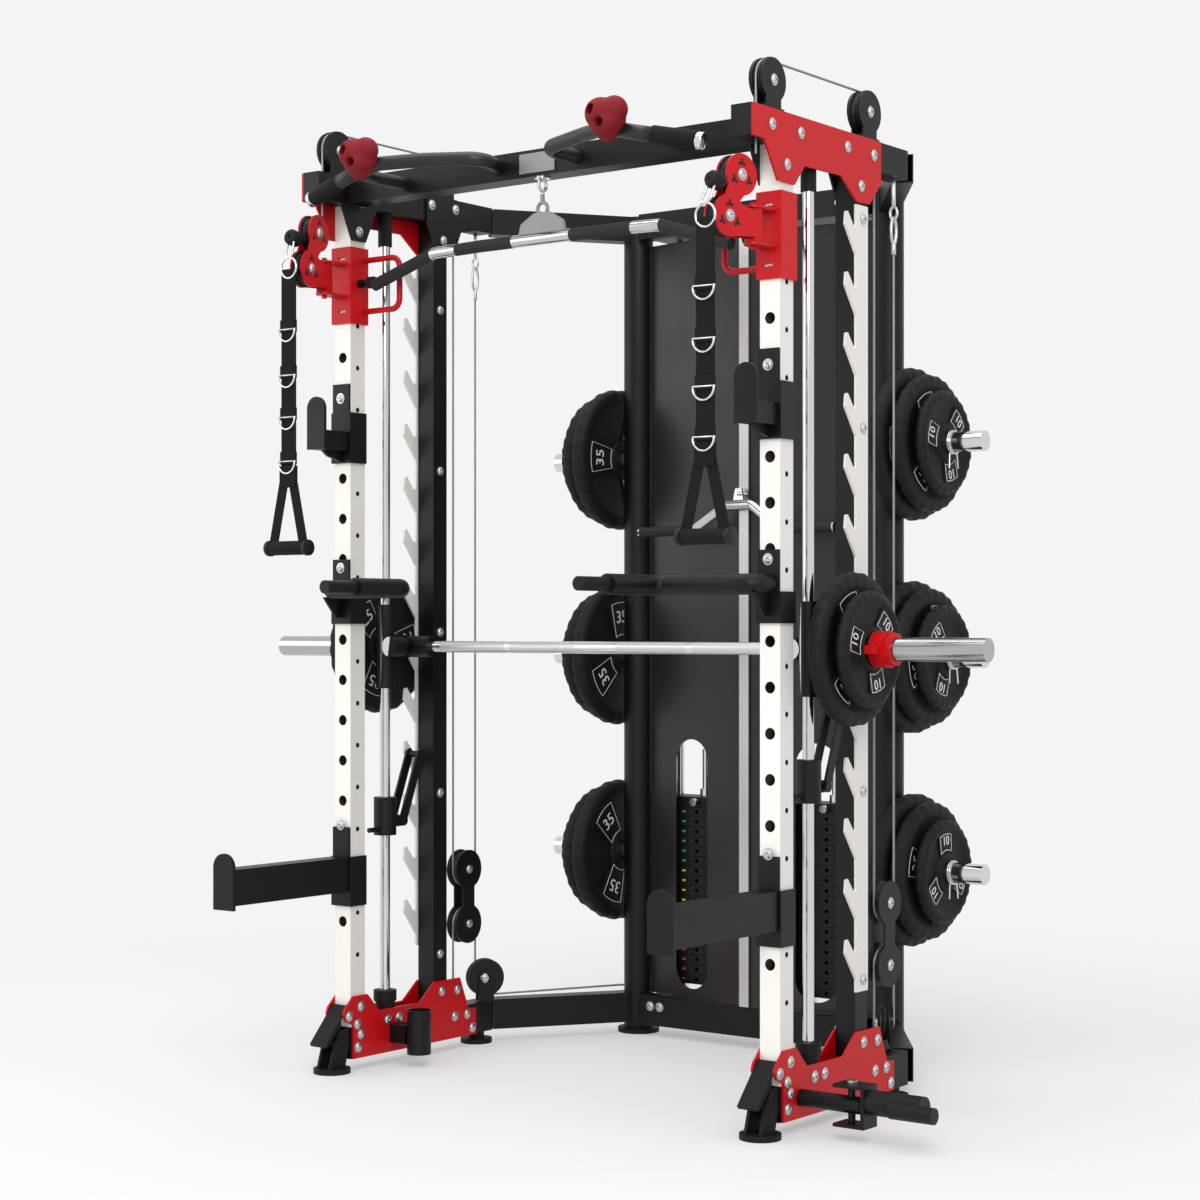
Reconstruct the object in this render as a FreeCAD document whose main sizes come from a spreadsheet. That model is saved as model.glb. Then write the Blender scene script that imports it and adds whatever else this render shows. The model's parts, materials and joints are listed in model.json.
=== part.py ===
import FreeCAD, Part
import math
import os
import re
import Sketcher
from FreeCAD import Placement, Rotation, Vector

# All-in-one smith machine: two side frames, a barbell on guide rods and two cable towers.
# +X is to the user's right hand side of the drawing, +Y runs to the weight stacks, +Z is up.
# The origin is on the floor, in the middle of the machine's footprint.

doc = FreeCAD.newDocument("SmithMachine")
sheet = doc.addObject("Spreadsheet::Sheet", "Sizes")

dimensions = {
    # side frames
    "tube": 50,
    "wall": 2.5,
    "frameWide": 1214,
    "uprightGap": 299,
    "railBottom": 29,
    "railTall": 76,
    "railBack": 498,
    "topLow": 2062,
    "topTall": 65,
    "topFront": 133,
    "topBack": 498,
    "gussetThick": 5,
    "holeRadius": 12.5,
    "holePitch": 96,
    "holeFirst": 355.4,
    "sideHoleRadius": 6,
    "sidePitch": 100,
    "sideFirst": 275.5,
    "boltRadius": 9,
    "boltTall": 5,
    # rear frame
    "postSpan": 752,
    "postBack": 853,
    "postRadius": 38,
    "padRadius": 54,
    "padTall": 12,
    "beamFront": 800,
    "beamDeep": 50,
    "hornRadius": 24.5,
    "hornEnd": 640,
    "hornFirst": 472,
    "hornPitch": 513,
    # notched rack plates
    "rackThick": 6,
    "rackFront": 268,
    "rackBack": 316,
    "rackBottom": 265,
    "rackTop": 1974,
    "tipFirst": 383,
    "tipPitch": 131,
    "noseReach": 45,
    "noseDeep": 29,
    "notchDeep": 32,
    "hookDeep": 90,
    # weight stacks and shroud
    "shroudRidge": 793,
    "shroudEdge": 853,
    "shroudThick": 3,
    "shroudTop": 2050,
    "slotCentre": 188,
    "slotWide": 112,
    "slotLow": 130,
    "slotHigh": 770,
    "stackCentre": 196,
    "stackFront": 860,
    "stackWide": 230,
    "stackDeep": 84,
    "stackLow": 137,
    "platePitch": 25.4,
    "stackRodGap": 160,
    "stackRodRadius": 10,
    "stemRadius": 9,
    # smith bar
    "rodLine": 124,
    "rodRadius": 12.5,
    "barLine": 184,
    "barHigh": 1010,
    "barRadius": 14,
    "sleeveRadius": 25,
    "sleeveLength": 352,
    "sleeveGap": 14,
    "carriageLow": 909,
    "carriageTall": 203,
    "carriageRadius": 22.5,
    "slideGap": 0.5,
    "hookArm": 72,
    "hookTurn": 75,
    # safety stops
    "stopTall": 92,
    "stopLow": 552,
    "stopRadius": 27.5,
    # cable towers
    "cableShift": 6.5,
    "cableRadius": 2.4,
    "pulleyRadius": 47.5,
    "pulleyGroove": 7.5,
    "pulleyThick": 22,
    "axleRadius": 6,
    "axleGap": 0.1,
    "topPulleyRise": 61,
    "rearPulley": 342,
    "cheekThick": 4,
    "blockHigh": 375,
    "blockPitch": 138,
    "lowPulleyIn": 22,
    "lowPulleyLine": 476,
    "lowPulleyHigh": 166,
    # trolleys and swivels
    "trolleyLow": 1780,
    "trolleyTall": 182,
    "trolleyWall": 5,
    "pivotReach": 88,
    "swivelTurn": 12,
    "swivelRadius": 42,
    "upperReach": 48,
    "upperHigh": 1980,
    "lowerReach": 82,
    "lowerHigh": 1893,
    "ballIn": 14,
    "ballReach": 205,
    "ballHigh": 1960,
    "ballRadius": 20,
    # straps
    "strapIn": 22,
    "strapReach": 229,
    "strapWide": 50,
    "strapThick": 6,
    "strapTop": 1880,
    "strapLow": 1430,
    "gripHigh": 1240,
    "gripLength": 128,
    "gripRadius": 17,
    "ringFirst": 1757,
    "ringPitch": 103,
    # attachments on the uprights
    "hookHigh": 1448,
    "hookReach": 110,
    "dipHigh": 1146,
    "dipReach": 80,
    "dipSpan": 252,
    "dipThick": 22,
    "dipThin": 15,
    "armHigh": 428,
    "armTall": 82,
    "armReach": 416,
    "holderLine": 130,
    "mineRod": 150,
    "mineLine": 47,
    "mineHigh": 72,
    "mineBolt": 8,
    # pull-up frame
    "beamFace": 40,
    "beamTall": 60,
    "gripLine": 232,
    "holdX": 346,
    "holdRise": 48,
    "holdWide": 48,
    "holdDeep": 50,
    "holdTall": 50,
    "barTube": 16,
    # lat bar
    "latDrop": 137,
    "latHang": 22,
    "latTube": 14,
    # weight plates
    "plateLarge": 368,
    "plateMedium": 330,
    "plateSmall": 252,
    "thickLarge": 44,
    "thickMedium": 40,
    "thickSmall": 32,
    "boreGap": 0.8,
}

for row, (alias, value) in enumerate(dimensions.items(), start=1):
    sheet.set(f"A{row}", alias)
    sheet.set(f"B{row}", str(value))
    sheet.setAlias(f"B{row}", alias)
doc.recompute()

nodes = {}

# Places that many pieces share, as expressions of the sheet's cells.
frameX = "frameWide / 2"
postX = "postSpan / 2"
front = "(armReach - postBack - plateLarge / 2) / 2"
rear = front + " + uprightGap"
outer = "frameWide / 2 + tube / 2"
inner = "frameWide / 2 - tube / 2"
railTop = "railBottom + railTall"
topHigh = "topLow + topTall"
wrap = "(pulleyRadius - pulleyGroove + cableRadius + 0.6)"
frontWheelY = f"{front} - pivotReach + {wrap}"
rearWheelY = f"{front} + rearPulley"
blockY = f"{rearWheelY} + 2 * {wrap}"
sleeveStart = f"({outer} + rackThick + sleeveGap)"
cablePlane = "(frameWide / 2 + cableShift)"
lowPulleyX = "frameWide / 2 - lowPulleyIn"
strapX = "(frameWide / 2 - strapIn)"
ballX = "(frameWide / 2 - ballIn)"
topPulleyHigh = "(topLow + topTall + topPulleyRise)"
holdHigh = "(topLow + holdRise)"
latHigh = "(topLow - latDrop)"


def named(text):
    return re.sub(r"[a-z][A-Za-z]*\b(?!\s*\()", lambda word: "Sizes." + word.group(), str(text))


def bind(obj, **sizes):
    for prop, text in sizes.items():
        obj.setExpression(prop.replace("_", "."), named(text))
    return obj


def put(obj, x, y, z):
    return bind(obj, Placement_Base_x=x, Placement_Base_y=y, Placement_Base_z=z)


def read(name):
    return float(sheet.get(name))


def box(name, length, width, height, x, y, z):
    obj = doc.addObject("Part::Box", name)
    bind(obj, Length=length, Width=width, Height=height)
    return put(obj, x, y, z)


axes = {
    "x": Rotation(Vector(0, 1, 0), 90),
    "y": Rotation(Vector(1, 0, 0), -90),
    "z": Rotation(),
}


def rod(name, radius, length, x, y, z, axis="z"):
    obj = doc.addObject("Part::Cylinder", name)
    obj.Placement = Placement(Vector(), axes[axis])
    bind(obj, Radius=radius, Height=length)
    return put(obj, x, y, z)


def ring(name, radius, wire, x, y, z, axis="z"):
    obj = doc.addObject("Part::Torus", name)
    obj.Placement = Placement(Vector(), axes[axis])
    bind(obj, Radius1=radius, Radius2=wire)
    return put(obj, x, y, z)


def cut(name, base, *tools):
    obj = doc.addObject("Part::Cut", name)
    obj.Base = base
    obj.Tool = tools[0] if len(tools) == 1 else gather(name + "Tools", *tools)
    return obj


def fuse(name, *pieces):
    obj = doc.addObject("Part::MultiFuse", name)
    obj.Shapes = list(pieces)
    obj.Refine = True
    return obj


def gather(name, *pieces):
    obj = doc.addObject("Part::Compound", name)
    obj.Links = list(pieces)
    return obj


def mirror(name, source):
    obj = doc.addObject("Part::Mirroring", name)
    obj.Source = source
    obj.Base = Vector(0, 0, 0)
    obj.Normal = Vector(1, 0, 0)
    return obj


def node(label, obj):
    nodes[label] = obj
    obj.Label = label
    return obj


def pair(label, right):
    node(label + "_right", right)
    node(label + "_left", mirror(label + "Left", right))


def both(label, *right):
    pieces = list(right)
    for count, piece in enumerate(right):
        pieces.append(mirror(f"{label}Other{count}", piece))
    return node(label, gather(label + "Both", *pieces))


def plate(name, plane, outline, thick, x, y, z):
    """A flat plate: its outline's corners are held by the sheet, on one of its body's planes."""
    body = doc.addObject("PartDesign::Body", name)
    sketch = body.newObject("Sketcher::SketchObject", name + "Outline")
    support = [f for f in body.Origin.OriginFeatures if f.Role == plane + "_Plane"][0]
    sketch.AttachmentSupport = (support, "")
    sketch.MapMode = "FlatFace"
    total = len(outline)
    spots = []
    for count in range(total):
        angle = 2 * math.pi * count / total
        spots.append(Vector(100 * math.cos(angle), 100 * math.sin(angle), 0))
    for count in range(total):
        sketch.addGeometry(Part.LineSegment(spots[count], spots[(count + 1) % total]), False)
    for count in range(total):
        sketch.addConstraint(Sketcher.Constraint("Coincident", count, 2, (count + 1) % total, 1))
    for count, (across, along) in enumerate(outline):
        for kind, text, spot in (("DistanceX", across, spots[count].x), ("DistanceY", along, spots[count].y)):
            index = sketch.addConstraint(Sketcher.Constraint(kind, -1, 1, count, 1, spot))
            sketch.setExpression(f"Constraints[{index}]", named(text))
    pad = body.newObject("PartDesign::Pad", name + "Pad")
    pad.Profile = sketch
    bind(pad, Length=thick)
    return put(body, x, y, z)


def tubing(name, length, width, height, x, y, z, along):
    """A square tube, open at both ends, with the same wall all round."""
    outside = box(name + "Outside", length, width, height, x, y, z)
    shrink = {axis: ("- 2 * wall", "+ wall") for axis in "xyz"}
    shrink[along] = ("", "")
    inside = box(
        name + "Inside",
        f"{length} {shrink['x'][0]}",
        f"{width} {shrink['y'][0]}",
        f"{height} {shrink['z'][0]}",
        f"{x} {shrink['x'][1]}",
        f"{y} {shrink['y'][1]}",
        f"{z} {shrink['z'][1]}",
    )
    return cut(name, outside, inside)


def route(points, bend):
    """Straight runs joined by tangent arcs."""
    corners = [Vector(*point) for point in points]
    edges = []
    start = corners[0]
    for before, corner, after in zip(corners, corners[1:], corners[2:]):
        back = (before - corner).normalize()
        ahead = (after - corner).normalize()
        half = back.getAngle(ahead) / 2
        reach = bend / math.tan(half)
        first = corner + back * reach
        last = corner + ahead * reach
        middle = corner + (back + ahead).normalize() * (bend / math.sin(half) - bend)
        edges.append(Part.makeLine(start, first))
        edges.append(Part.Arc(first, middle, last).toShape())
        start = last
    edges.append(Part.makeLine(start, corners[-1]))
    return Part.Wire(edges)


def pipe(points, bend, radius):
    path = route(points, bend)
    start = Vector(*points[0])
    profile = Part.Wire(Part.makeCircle(radius, start, Vector(*points[1]) - start))
    return path.makePipeShell([profile], True, True)


def solid(name, shape):
    obj = doc.addObject("Part::Feature", name)
    obj.Shape = shape
    return obj


def frontLine():
    return (read("armReach") - read("postBack") - read("plateLarge") / 2) / 2


def slope(start, end, low, tall, wide, wall):
    """A level square tube from start to end in plan."""
    ahead = Vector(end[0] - start[0], end[1] - start[1], 0)
    length = ahead.Length
    outside = Part.makeBox(length, wide, tall, Vector(0, -wide / 2, 0))
    hollow = Part.makeBox(length, wide - 2 * wall, tall - 2 * wall, Vector(0, wall - wide / 2, wall))
    shape = outside.cut(hollow)
    turn = Rotation(Vector(1, 0, 0), ahead)
    shape.Placement = Placement(Vector(start[0], start[1], low), turn)
    return shape


# Front uprights: white square tubes with a row of large holes in front and small ones at the sides.
upright = tubing("FrontTube", "tube", "tube", f"topLow - ({railTop})", inner, f"{front} - tube / 2", railTop, "z")
holes = []
for count in range(17):
    high = f"holeFirst + holePitch * {count}"
    holes.append(rod(f"FrontHole{count}", "holeRadius", "tube * 2", frameX, f"{front} - tube", high, "y"))
for count in range(17):
    high = f"sideFirst + sidePitch * {count}"
    holes.append(rod(f"SideHole{count}", "sideHoleRadius", "tube * 2", f"{frameX} - tube", front, high, "x"))
both("front_uprights", cut("FrontUpright", upright, *holes))

# Rear uprights: plain black tubes that carry the notched rack plates on their outer faces.
both(
    "rear_uprights",
    tubing("RearTube", "tube", "tube", f"topLow - ({railTop})", inner, f"{rear} - tube / 2", railTop, "z"),
)

# Notched rack plates, with hooks that point forward and up.
outline = [("rackBack", "rackBottom"), ("rackBack", "rackTop"), ("rackFront", "rackTop")]
for count in reversed(range(13)):
    tip = f"tipFirst + tipPitch * {count}"
    outline.append(("rackFront", f"{tip} - notchDeep + 8"))
    outline.append(("rackFront - 5", f"{tip} - notchDeep"))
    outline.append(("rackFront - 11", f"{tip} - notchDeep + 2"))
    outline.append(("rackFront - noseReach * 0.78", tip))
    outline.append(("rackFront - noseReach * 0.93", f"{tip} - 2"))
    outline.append(("rackFront - noseReach", f"{tip} - noseDeep"))
    outline.append(("rackFront", f"{tip} - hookDeep"))
outline.append(("rackFront", "rackBottom"))
rack = plate("RackPlate", "YZ", outline, "rackThick", f"{outer} + 1", front, "0")
both("rack_plates", rack)

# Base rails run under both uprights, back to the rear diagonals.
rail = tubing("BaseRail", "tube", "railBack + tube / 2", "railTall", inner, f"{front} - tube / 2", "railBottom", "y")
both("base_rails", rail)

# Red base gussets on both sides of each rail.
gusset = [
    ("-20", "29"), ("-20", "110"), ("-46", "122"), ("-54", "138"), ("-48", "152"), ("-20", "178"),
    ("30", "178"), ("72", "134"), ("218", "134"), ("272", "178"), ("370", "178"), ("402", "98"),
    ("432", "94"), ("432", "29"),
]
gusset = [(f"({y}) * uprightGap / 299", z) for y, z in gusset]
outside = plate("BaseGussetOut", "YZ", gusset, "gussetThick", outer, front, "0")
inside = plate("BaseGussetIn", "YZ", gusset, "gussetThick", f"{inner} - gussetThick", front, "0")
both("base_gussets", outside, inside)

# Top rails, with their red outer gussets and black inner plates.
rail = tubing("TopRail", "tube", "topFront + topBack", "topTall", inner, f"{front} - topFront", "topLow", "y")
cableHoles = []
for name, along in (("Front", f"{front} - pivotReach"), ("Rear", f"{rearWheelY} + {wrap}")):
    cableHoles.append(rod("CableHole" + name, "cableRadius + 5", "topTall * 3", cablePlane, along, "topLow - topTall"))
rail = cut("TopRailDrilled", rail, *cableHoles)
plugFront = box("TopRailCap", "tube - 2 * wall", "4", "topTall - 2 * wall", f"{inner} + wall",
                f"{front} - topFront", "topLow + wall")
plugBack = box("TopRailBackCap", "tube - 2 * wall", "4", "topTall - 2 * wall", f"{inner} + wall",
               f"{front} + topBack - 4", "topLow + wall")
gusset = [
    ("-133", "64"), ("-133", "-3"), ("-91", "-3"), ("-40", "-82"), ("24", "-82"), ("62", "-37"),
    ("211", "-35"), ("276", "-82"), ("328", "-80"), ("376", "-27"), ("376", "64"),
]
gusset = [(f"({y}) * uprightGap / 299", f"topLow + {z}") for y, z in gusset]
both("top_gussets", plate("TopGusset", "YZ", gusset, "gussetThick", outer, front, "0"))
back = [("245", "63"), ("470", "63"), ("470", "6"), ("374", "-14"), ("346", "-76"), ("284", "-76"), ("245", "-4")]
back = [(f"({y}) * uprightGap / 299", f"topLow + {z}") for y, z in back]
nose = [("-62", "-2"), ("62", "-2"), ("24", "-84"), ("-24", "-84")]
nose = [(y, f"topLow + {z}") for y, z in nose]
both(
    "top_rails", rail, plugFront, plugBack,
    plate("TopInnerPlate", "YZ", back, "gussetThick", f"{inner} - gussetThick", front, "0"),
    plate("TopNosePlate", "YZ", nose, "gussetThick", f"{inner} - gussetThick", front, "0"),
)

# Rear frame: diagonals run in from the rails to the posts, and cross beams join the posts.
line = frontLine()
frameHalf = read("frameWide") / 2
postHalf = read("postSpan") / 2
postLine = line + read("postBack")
square = read("tube")
wall = read("wall")
postOuter = Part.makeCylinder(read("postRadius"), read("topLow") * 2, Vector(postHalf, postLine, -10))
lowStart = (frameHalf - 2, line + read("railBack") + square / 2 + 1)
topStart = (frameHalf - 2, line + read("topBack") + square / 2 + 1)
lowDiagonal = slope(lowStart, (postHalf, postLine), read("railBottom"), read("railTall"), square, wall).cut(postOuter)
topDiagonal = slope(topStart, (postHalf, postLine), read("topLow"), read("topTall"), square, wall).cut(postOuter)
lowDiagonal = max(lowDiagonal.Solids, key=lambda piece: piece.Volume)
topDiagonal = max(topDiagonal.Solids, key=lambda piece: piece.Volume)
lowPlate = Part.makeBox(square, 4, read("railTall"), Vector(frameHalf - square / 2, line + read("railBack"), read("railBottom")))
topPlate = Part.makeBox(square, 4, read("topTall"), Vector(frameHalf - square / 2, line + read("topBack"), read("topLow")))
lowDiagonal = lowDiagonal.cut(lowPlate)
topDiagonal = topDiagonal.cut(topPlate)
beamWide = read("postSpan") - 2 * read("postRadius")
lowBeam = tubing("LowBeam", "postSpan - 2 * postRadius - 2", "beamDeep", "railTall",
                 "1 + postRadius - postSpan / 2", f"{front} + beamFront", "railBottom", "x")
topBeam = tubing("TopBeam", "postSpan - 2 * postRadius - 2", "beamDeep", "topTall",
                 "1 + postRadius - postSpan / 2", f"{front} + beamFront", "topLow", "x")
shelf = box("StackShelf", "postSpan - 2 * postRadius - 40", "stackFront + stackDeep - beamFront - beamDeep", "6",
            "20 + postRadius - postSpan / 2", f"{front} + beamFront + beamDeep", f"{railTop} - 6")
node("rear_frame_lower", gather(
    "RearLower", lowBeam, shelf,
    solid("LowDiagonal", lowDiagonal), solid("LowDiagonalOther", lowDiagonal.mirror(Vector(), Vector(1, 0, 0))),
    solid("LowEnd", lowPlate), solid("LowEndOther", lowPlate.mirror(Vector(), Vector(1, 0, 0))),
))
stackLine = f"{front} + stackFront + stackDeep / 2"
topTie = box("StackTie", "postSpan - 2 * postRadius - 40", "stackFront + stackDeep - beamFront - beamDeep", "6",
             "20 + postRadius - postSpan / 2", f"{front} + beamFront + beamDeep", "topLow")
node("rear_frame_upper", gather(
    "RearUpper", topBeam, topTie,
    solid("TopDiagonal", topDiagonal), solid("TopDiagonalOther", topDiagonal.mirror(Vector(), Vector(1, 0, 0))),
    solid("TopEnd", topPlate), solid("TopEndOther", topPlate.mirror(Vector(), Vector(1, 0, 0))),
))

# Round rear posts.
postSolid = rod("PostOutside", "postRadius", f"{topHigh} - padTall", postX, f"{front} + postBack", "padTall")
postHollow = rod("PostInside", "postRadius - wall", f"{topHigh} - padTall - 4", postX, f"{front} + postBack", "padTall")
both("rear_posts", cut("RearPost", postSolid, postHollow))

# Chrome plate horns, shaped to the round posts.
horns = []
for count in range(3):
    high = f"hornFirst + hornPitch * {count}"
    horns.append(rod(f"Horn{count}", "hornRadius", f"hornEnd - {postX}", postX, f"{front} + postBack", high, "x"))
postTool = rod("PostTool", "postRadius", "topLow", postX, f"{front} + postBack", "0")
both("plate_horns", cut("PlateHorns", gather("HornStack", *horns), postTool))

# Shroud in front of the weight stacks: a shallow ridge of sheet metal with two long slots.
edge = "postSpan / 2 - postRadius - 2"
ridge = [
    (f"-({edge})", "shroudEdge"), ("0", "shroudRidge"), (edge, "shroudEdge"),
    (edge, "shroudEdge + shroudThick"), ("0", "shroudRidge + shroudThick"), (f"-({edge})", "shroudEdge + shroudThick"),
]
panel = plate("ShroudPanel", "XY", ridge, f"shroudTop - ({railTop}) - 1", "0", front, f"{railTop} + 1")
slots = []
for side, sign in (("Right", ""), ("Left", "-")):
    centre = f"{sign}slotCentre"
    slots.append(box(f"Slot{side}", "slotWide", "shroudEdge", "slotHigh - slotLow - slotWide",
                     f"{centre} - slotWide / 2", front, "slotLow + slotWide / 2"))
    slots.append(rod(f"SlotLow{side}", "slotWide / 2", "shroudEdge * 2", centre, front, "slotLow + slotWide / 2", "y"))
    slots.append(rod(f"SlotHigh{side}", "slotWide / 2", "shroudEdge * 2", centre, front, "slotHigh - slotWide / 2", "y"))
for count in (0, 3):
    bind(slots[count], Width="shroudEdge * 2")
node("stack_shroud", cut("Shroud", panel, *slots))
node("shroud_strip", box("ShroudStrip", "28", "8", f"shroudTop - ({railTop}) - 6", "-14",
                         f"{front} + shroudRidge - 8", f"{railTop} + 2"))

# Weight stacks: separate plates on two rods each, with a head plate that carries the stem.


def stackPlate(name, low, thick):
    block = box(name + "Block", "stackWide", "stackDeep", thick, "stackCentre - stackWide / 2",
                f"{front} + stackFront", low)
    drills = []
    for side, sign in (("Right", "+"), ("Left", "-")):
        drills.append(rod(name + "Bore" + side, "stackRodRadius + slideGap", "platePitch * 2",
                          f"stackCentre {sign} stackRodGap / 2", stackLine, f"{low} - 10"))
    drills.append(rod(name + "Stem", "stemRadius + slideGap", "platePitch * 2", "stackCentre", stackLine, f"{low} - 10"))
    return block, drills


plates = []
for count in range(18):
    low = f"stackLow + platePitch * {count}"
    block, drills = stackPlate(f"Stack{count}", low, "platePitch - 1")
    pin = rod(f"Stack{count}Pin", "5.5", "stackDeep / 2", "stackCentre", f"{front} + stackFront", f"{low} + platePitch / 2", "y")
    plates.append(cut(f"StackPlate{count}", block, *drills, pin))
both("stack_plates", *plates)
headLow = "stackLow + platePitch * 18"
block, drills = stackPlate("Head", headLow, "platePitch")
head = cut("HeadPlate", block, *drills[:2])
stem = rod("Stem", "stemRadius", "platePitch * 19 + 120", "stackCentre", stackLine, "stackLow + 2")
neck = rod("StemNeck", "stemRadius + 6", "20", "stackCentre", stackLine, f"{headLow} + platePitch")
pinRod = rod("SelectorPin", "4.5", "stackDeep / 2 + 10", "stackCentre", f"{front} + stackFront - 10",
             f"{headLow} + platePitch / 2", "y")
pinGrip = rod("SelectorGrip", "10", "8", "stackCentre", f"{front} + stackFront - 18", f"{headLow} + platePitch / 2", "y")
pair("stack_head", fuse("StackHead", head, stem, neck, pinRod, pinGrip))
rods = []
for side, sign in (("Right", "+"), ("Left", "-")):
    rods.append(rod("StackRod" + side, "stackRodRadius", f"topLow - ({railTop})",
                    f"stackCentre {sign} stackRodGap / 2", stackLine, railTop))
    rods.append(rod("StackBuffer" + side, "stackRodRadius + 12", f"stackLow - ({railTop}) - 1",
                    f"stackCentre {sign} stackRodGap / 2", stackLine, railTop))
both("stack_rods", fuse("StackRods", *rods))

# Guide rods of the barbell carriages, with their sockets and rubber buffers.
guide = rod("GuideRod", "rodRadius", f"topLow - ({railTop}) - 4", frameX, f"{front} + rodLine", f"{railTop} + 2")
both("guide_rods", guide)
sockets = []
for name, radius, low, tall in (
    ("SocketTop", "17", "topLow - 79", "79"),
    ("SocketLow", "24", railTop, "44"),
    ("SocketBuffer", "28", f"{railTop} + 44", "26"),
):
    sockets.append(rod(name, radius, tall, frameX, f"{front} + rodLine", low))
rodTool = rod("SocketBore", "rodRadius", f"topLow - ({railTop}) - 4", frameX, f"{front} + rodLine", f"{railTop} + 2")
both("rod_sockets", cut("RodSockets", gather("SocketSet", *sockets), rodTool))

# Pull-up beam, the bent grip bars in front of it and two red climbing holds.
beam = tubing("PullUpTube", "frameWide - tube - 2 * gussetThick - 2", "beamTall", "beamTall",
              f"1 + gussetThick + tube / 2 - {frameX}", f"{front} - beamFace", "topLow", "x")
badge = box("PlainBadge", "100", "3", "44", "-50", f"{front} - beamFace - 3", "topLow + 8")
eye = ring("LatEye", "13", "4", "0", f"{front} - latHang", "topLow - 18", "x")
eyePad = rod("LatEyePad", "18", "4", "0", f"{front} - latHang", "topLow - 4")
node("pull_up_beam", gather("PullUpBeam", beam, badge, fuse("LatEyeBolt", eye, eyePad)))
gripFront = line - read("gripLine")
beamFace = line - read("beamFace")
high = read("topLow") + 38
bent = [
    (112, beamFace + 2, high - 8), (86, beamFace - 84, high - 2), (225, beamFace - 128, high + 4),
    (read("holdX") - 24, gripFront + 20, high), (read("holdX") + 60, gripFront + 10, high - 22),
    (546, line - 190, high - 52),
]
bar = pipe(bent, 40, read("barTube"))
strut = pipe([(read("holdX") + 44, beamFace + 1, high - 14), (read("holdX") + 44, line - 150, high - 14),
              (read("holdX") + 30, gripFront + 22, high - 16)], 60, read("barTube") - 1)
strut = strut.cut(bar)
strut = max(strut.Solids, key=lambda piece: piece.Volume)
beamTool = Part.makeBox(2 * frameHalf, read("beamTall"), read("beamTall") + 40, Vector(-frameHalf, beamFace, read("topLow") - 20))
grip = bar.fuse(strut).cut(beamTool)
gripNode = solid("GripBar", grip)
both("pull_up_bars", gripNode)
hold = doc.addObject("Part::Ellipsoid", "Hold")
bind(hold, Radius1="holdWide", Radius2="holdDeep", Radius3="holdTall")
put(hold, "holdX", f"{front} - gripLine - 14", holdHigh)
fingerHigh = rod("FingerHigh", "12", "64", "holdX - 12", f"{front} - gripLine - 90", f"{holdHigh} + 14", "y")
fingerLow = rod("FingerLow", "10.5", "64", "holdX + 8", f"{front} - gripLine - 90", f"{holdHigh} - 14", "y")
both("climbing_holds", cut("ClimbingHold", hold, fingerHigh, fingerLow, gripNode))

# Feet: discs under the front legs, the rails and the posts. Inclined foot plates cover the front legs.
feet = [
    rod("FrontPad", "44", "padTall", frameX, f"{front} - 62", "0"),
    rod("RearPad", "40", "padTall", frameX, f"{front} + 468", "0"),
    rod("RearStem", "20", "railBottom - padTall", frameX, f"{front} + 468", "padTall"),
    rod("PostPad", "padRadius", "padTall", postX, f"{front} + postBack", "0"),
]
outline = [("-92", "12"), ("-40", "12"), ("-tube / 2 - 1", "58"), ("-tube / 2 - 1", "104"), ("-58", "100"), ("-78", "58")]
legs = [plate(f"FrontLeg{count}", "YZ", outline, "7", f"{frameX} {shift}", front, "0")
        for count, shift in enumerate(("- 22", "+ 15"))]
legTie = rod("LegTie", "9", "44", f"{frameX} - 22", f"{front} - 52", "66", "x")
pedal = plate("FootPlate", "YZ", [("-112", "72"), ("-106", "66"), ("-57", "112"), ("-57", "126"), ("-30", "154"), ("-34", "158")],
              "tube", inner, front, "0")
both("feet", *feet, fuse("FrontFoot", *legs, legTie, pedal))

# Barbell holder on the left base gusset.
holderX = f"-({inner}) + gussetThick + 75"
holder = cut("HolderTube",
             rod("HolderOutside", "29", "106", holderX, f"{front} + holderLine", "railBottom"),
             rod("HolderInside", "26", "102", holderX, f"{front} + holderLine", "railBottom + 4"))
block = box("HolderBlock", "75 - 26", "44", "44", f"-({inner}) + gussetThick", f"{front} + holderLine - 22", "52")
holderTool = rod("HolderTool", "29", "106", holderX, f"{front} + holderLine", "railBottom")
mineX = f"{outer} + gussetThick"
minePin = f"{mineX} + mineRod - 26"
mineBore = rod("MineBore", "mineBolt + axleGap", "60", minePin, f"{front} + mineLine", "mineHigh - 30")
mineRodSolid = rod("MineRod", "18", "mineRod", mineX, f"{front} + mineLine", "mineHigh", "x")
node("base_sockets", gather(
    "BaseSockets", fuse("BarHolder", holder, cut("HolderArm", block, holderTool)), cut("MineRodDrilled", mineRodSolid, mineBore),
))

# Row bar stored on the shroud.
rowLine = line + read("shroudRidge") - 8
row = pipe([(-292, rowLine - 40, 1300), (-128, rowLine - 40, 1302), (-40, rowLine - 22, 1362), (40, rowLine - 22, 1362),
            (128, rowLine - 40, 1302), (292, rowLine - 40, 1300)], 36, 13)
tab = plate("RowTab", "XZ", [("-16", "1370"), ("16", "1370"), ("9", "1404"), ("-9", "1404")], "6", "0",
            f"{front} + shroudRidge - 27", "0")
hook = rod("RowHook", "5", "36", "0", f"{front} + shroudRidge - 8 - 36", "1390", "y")
rowBar = solid("RowTube", row)
node("stored_row_bar", fuse("RowBar", rowBar, tab, hook))

# Weight plates with ribbed rims, on the horns and on the bar.
sets = (("Large", "plateLarge", "thickLarge"), ("Medium", "plateMedium", "thickMedium"), ("Small", "plateSmall", "thickSmall"))


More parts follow.
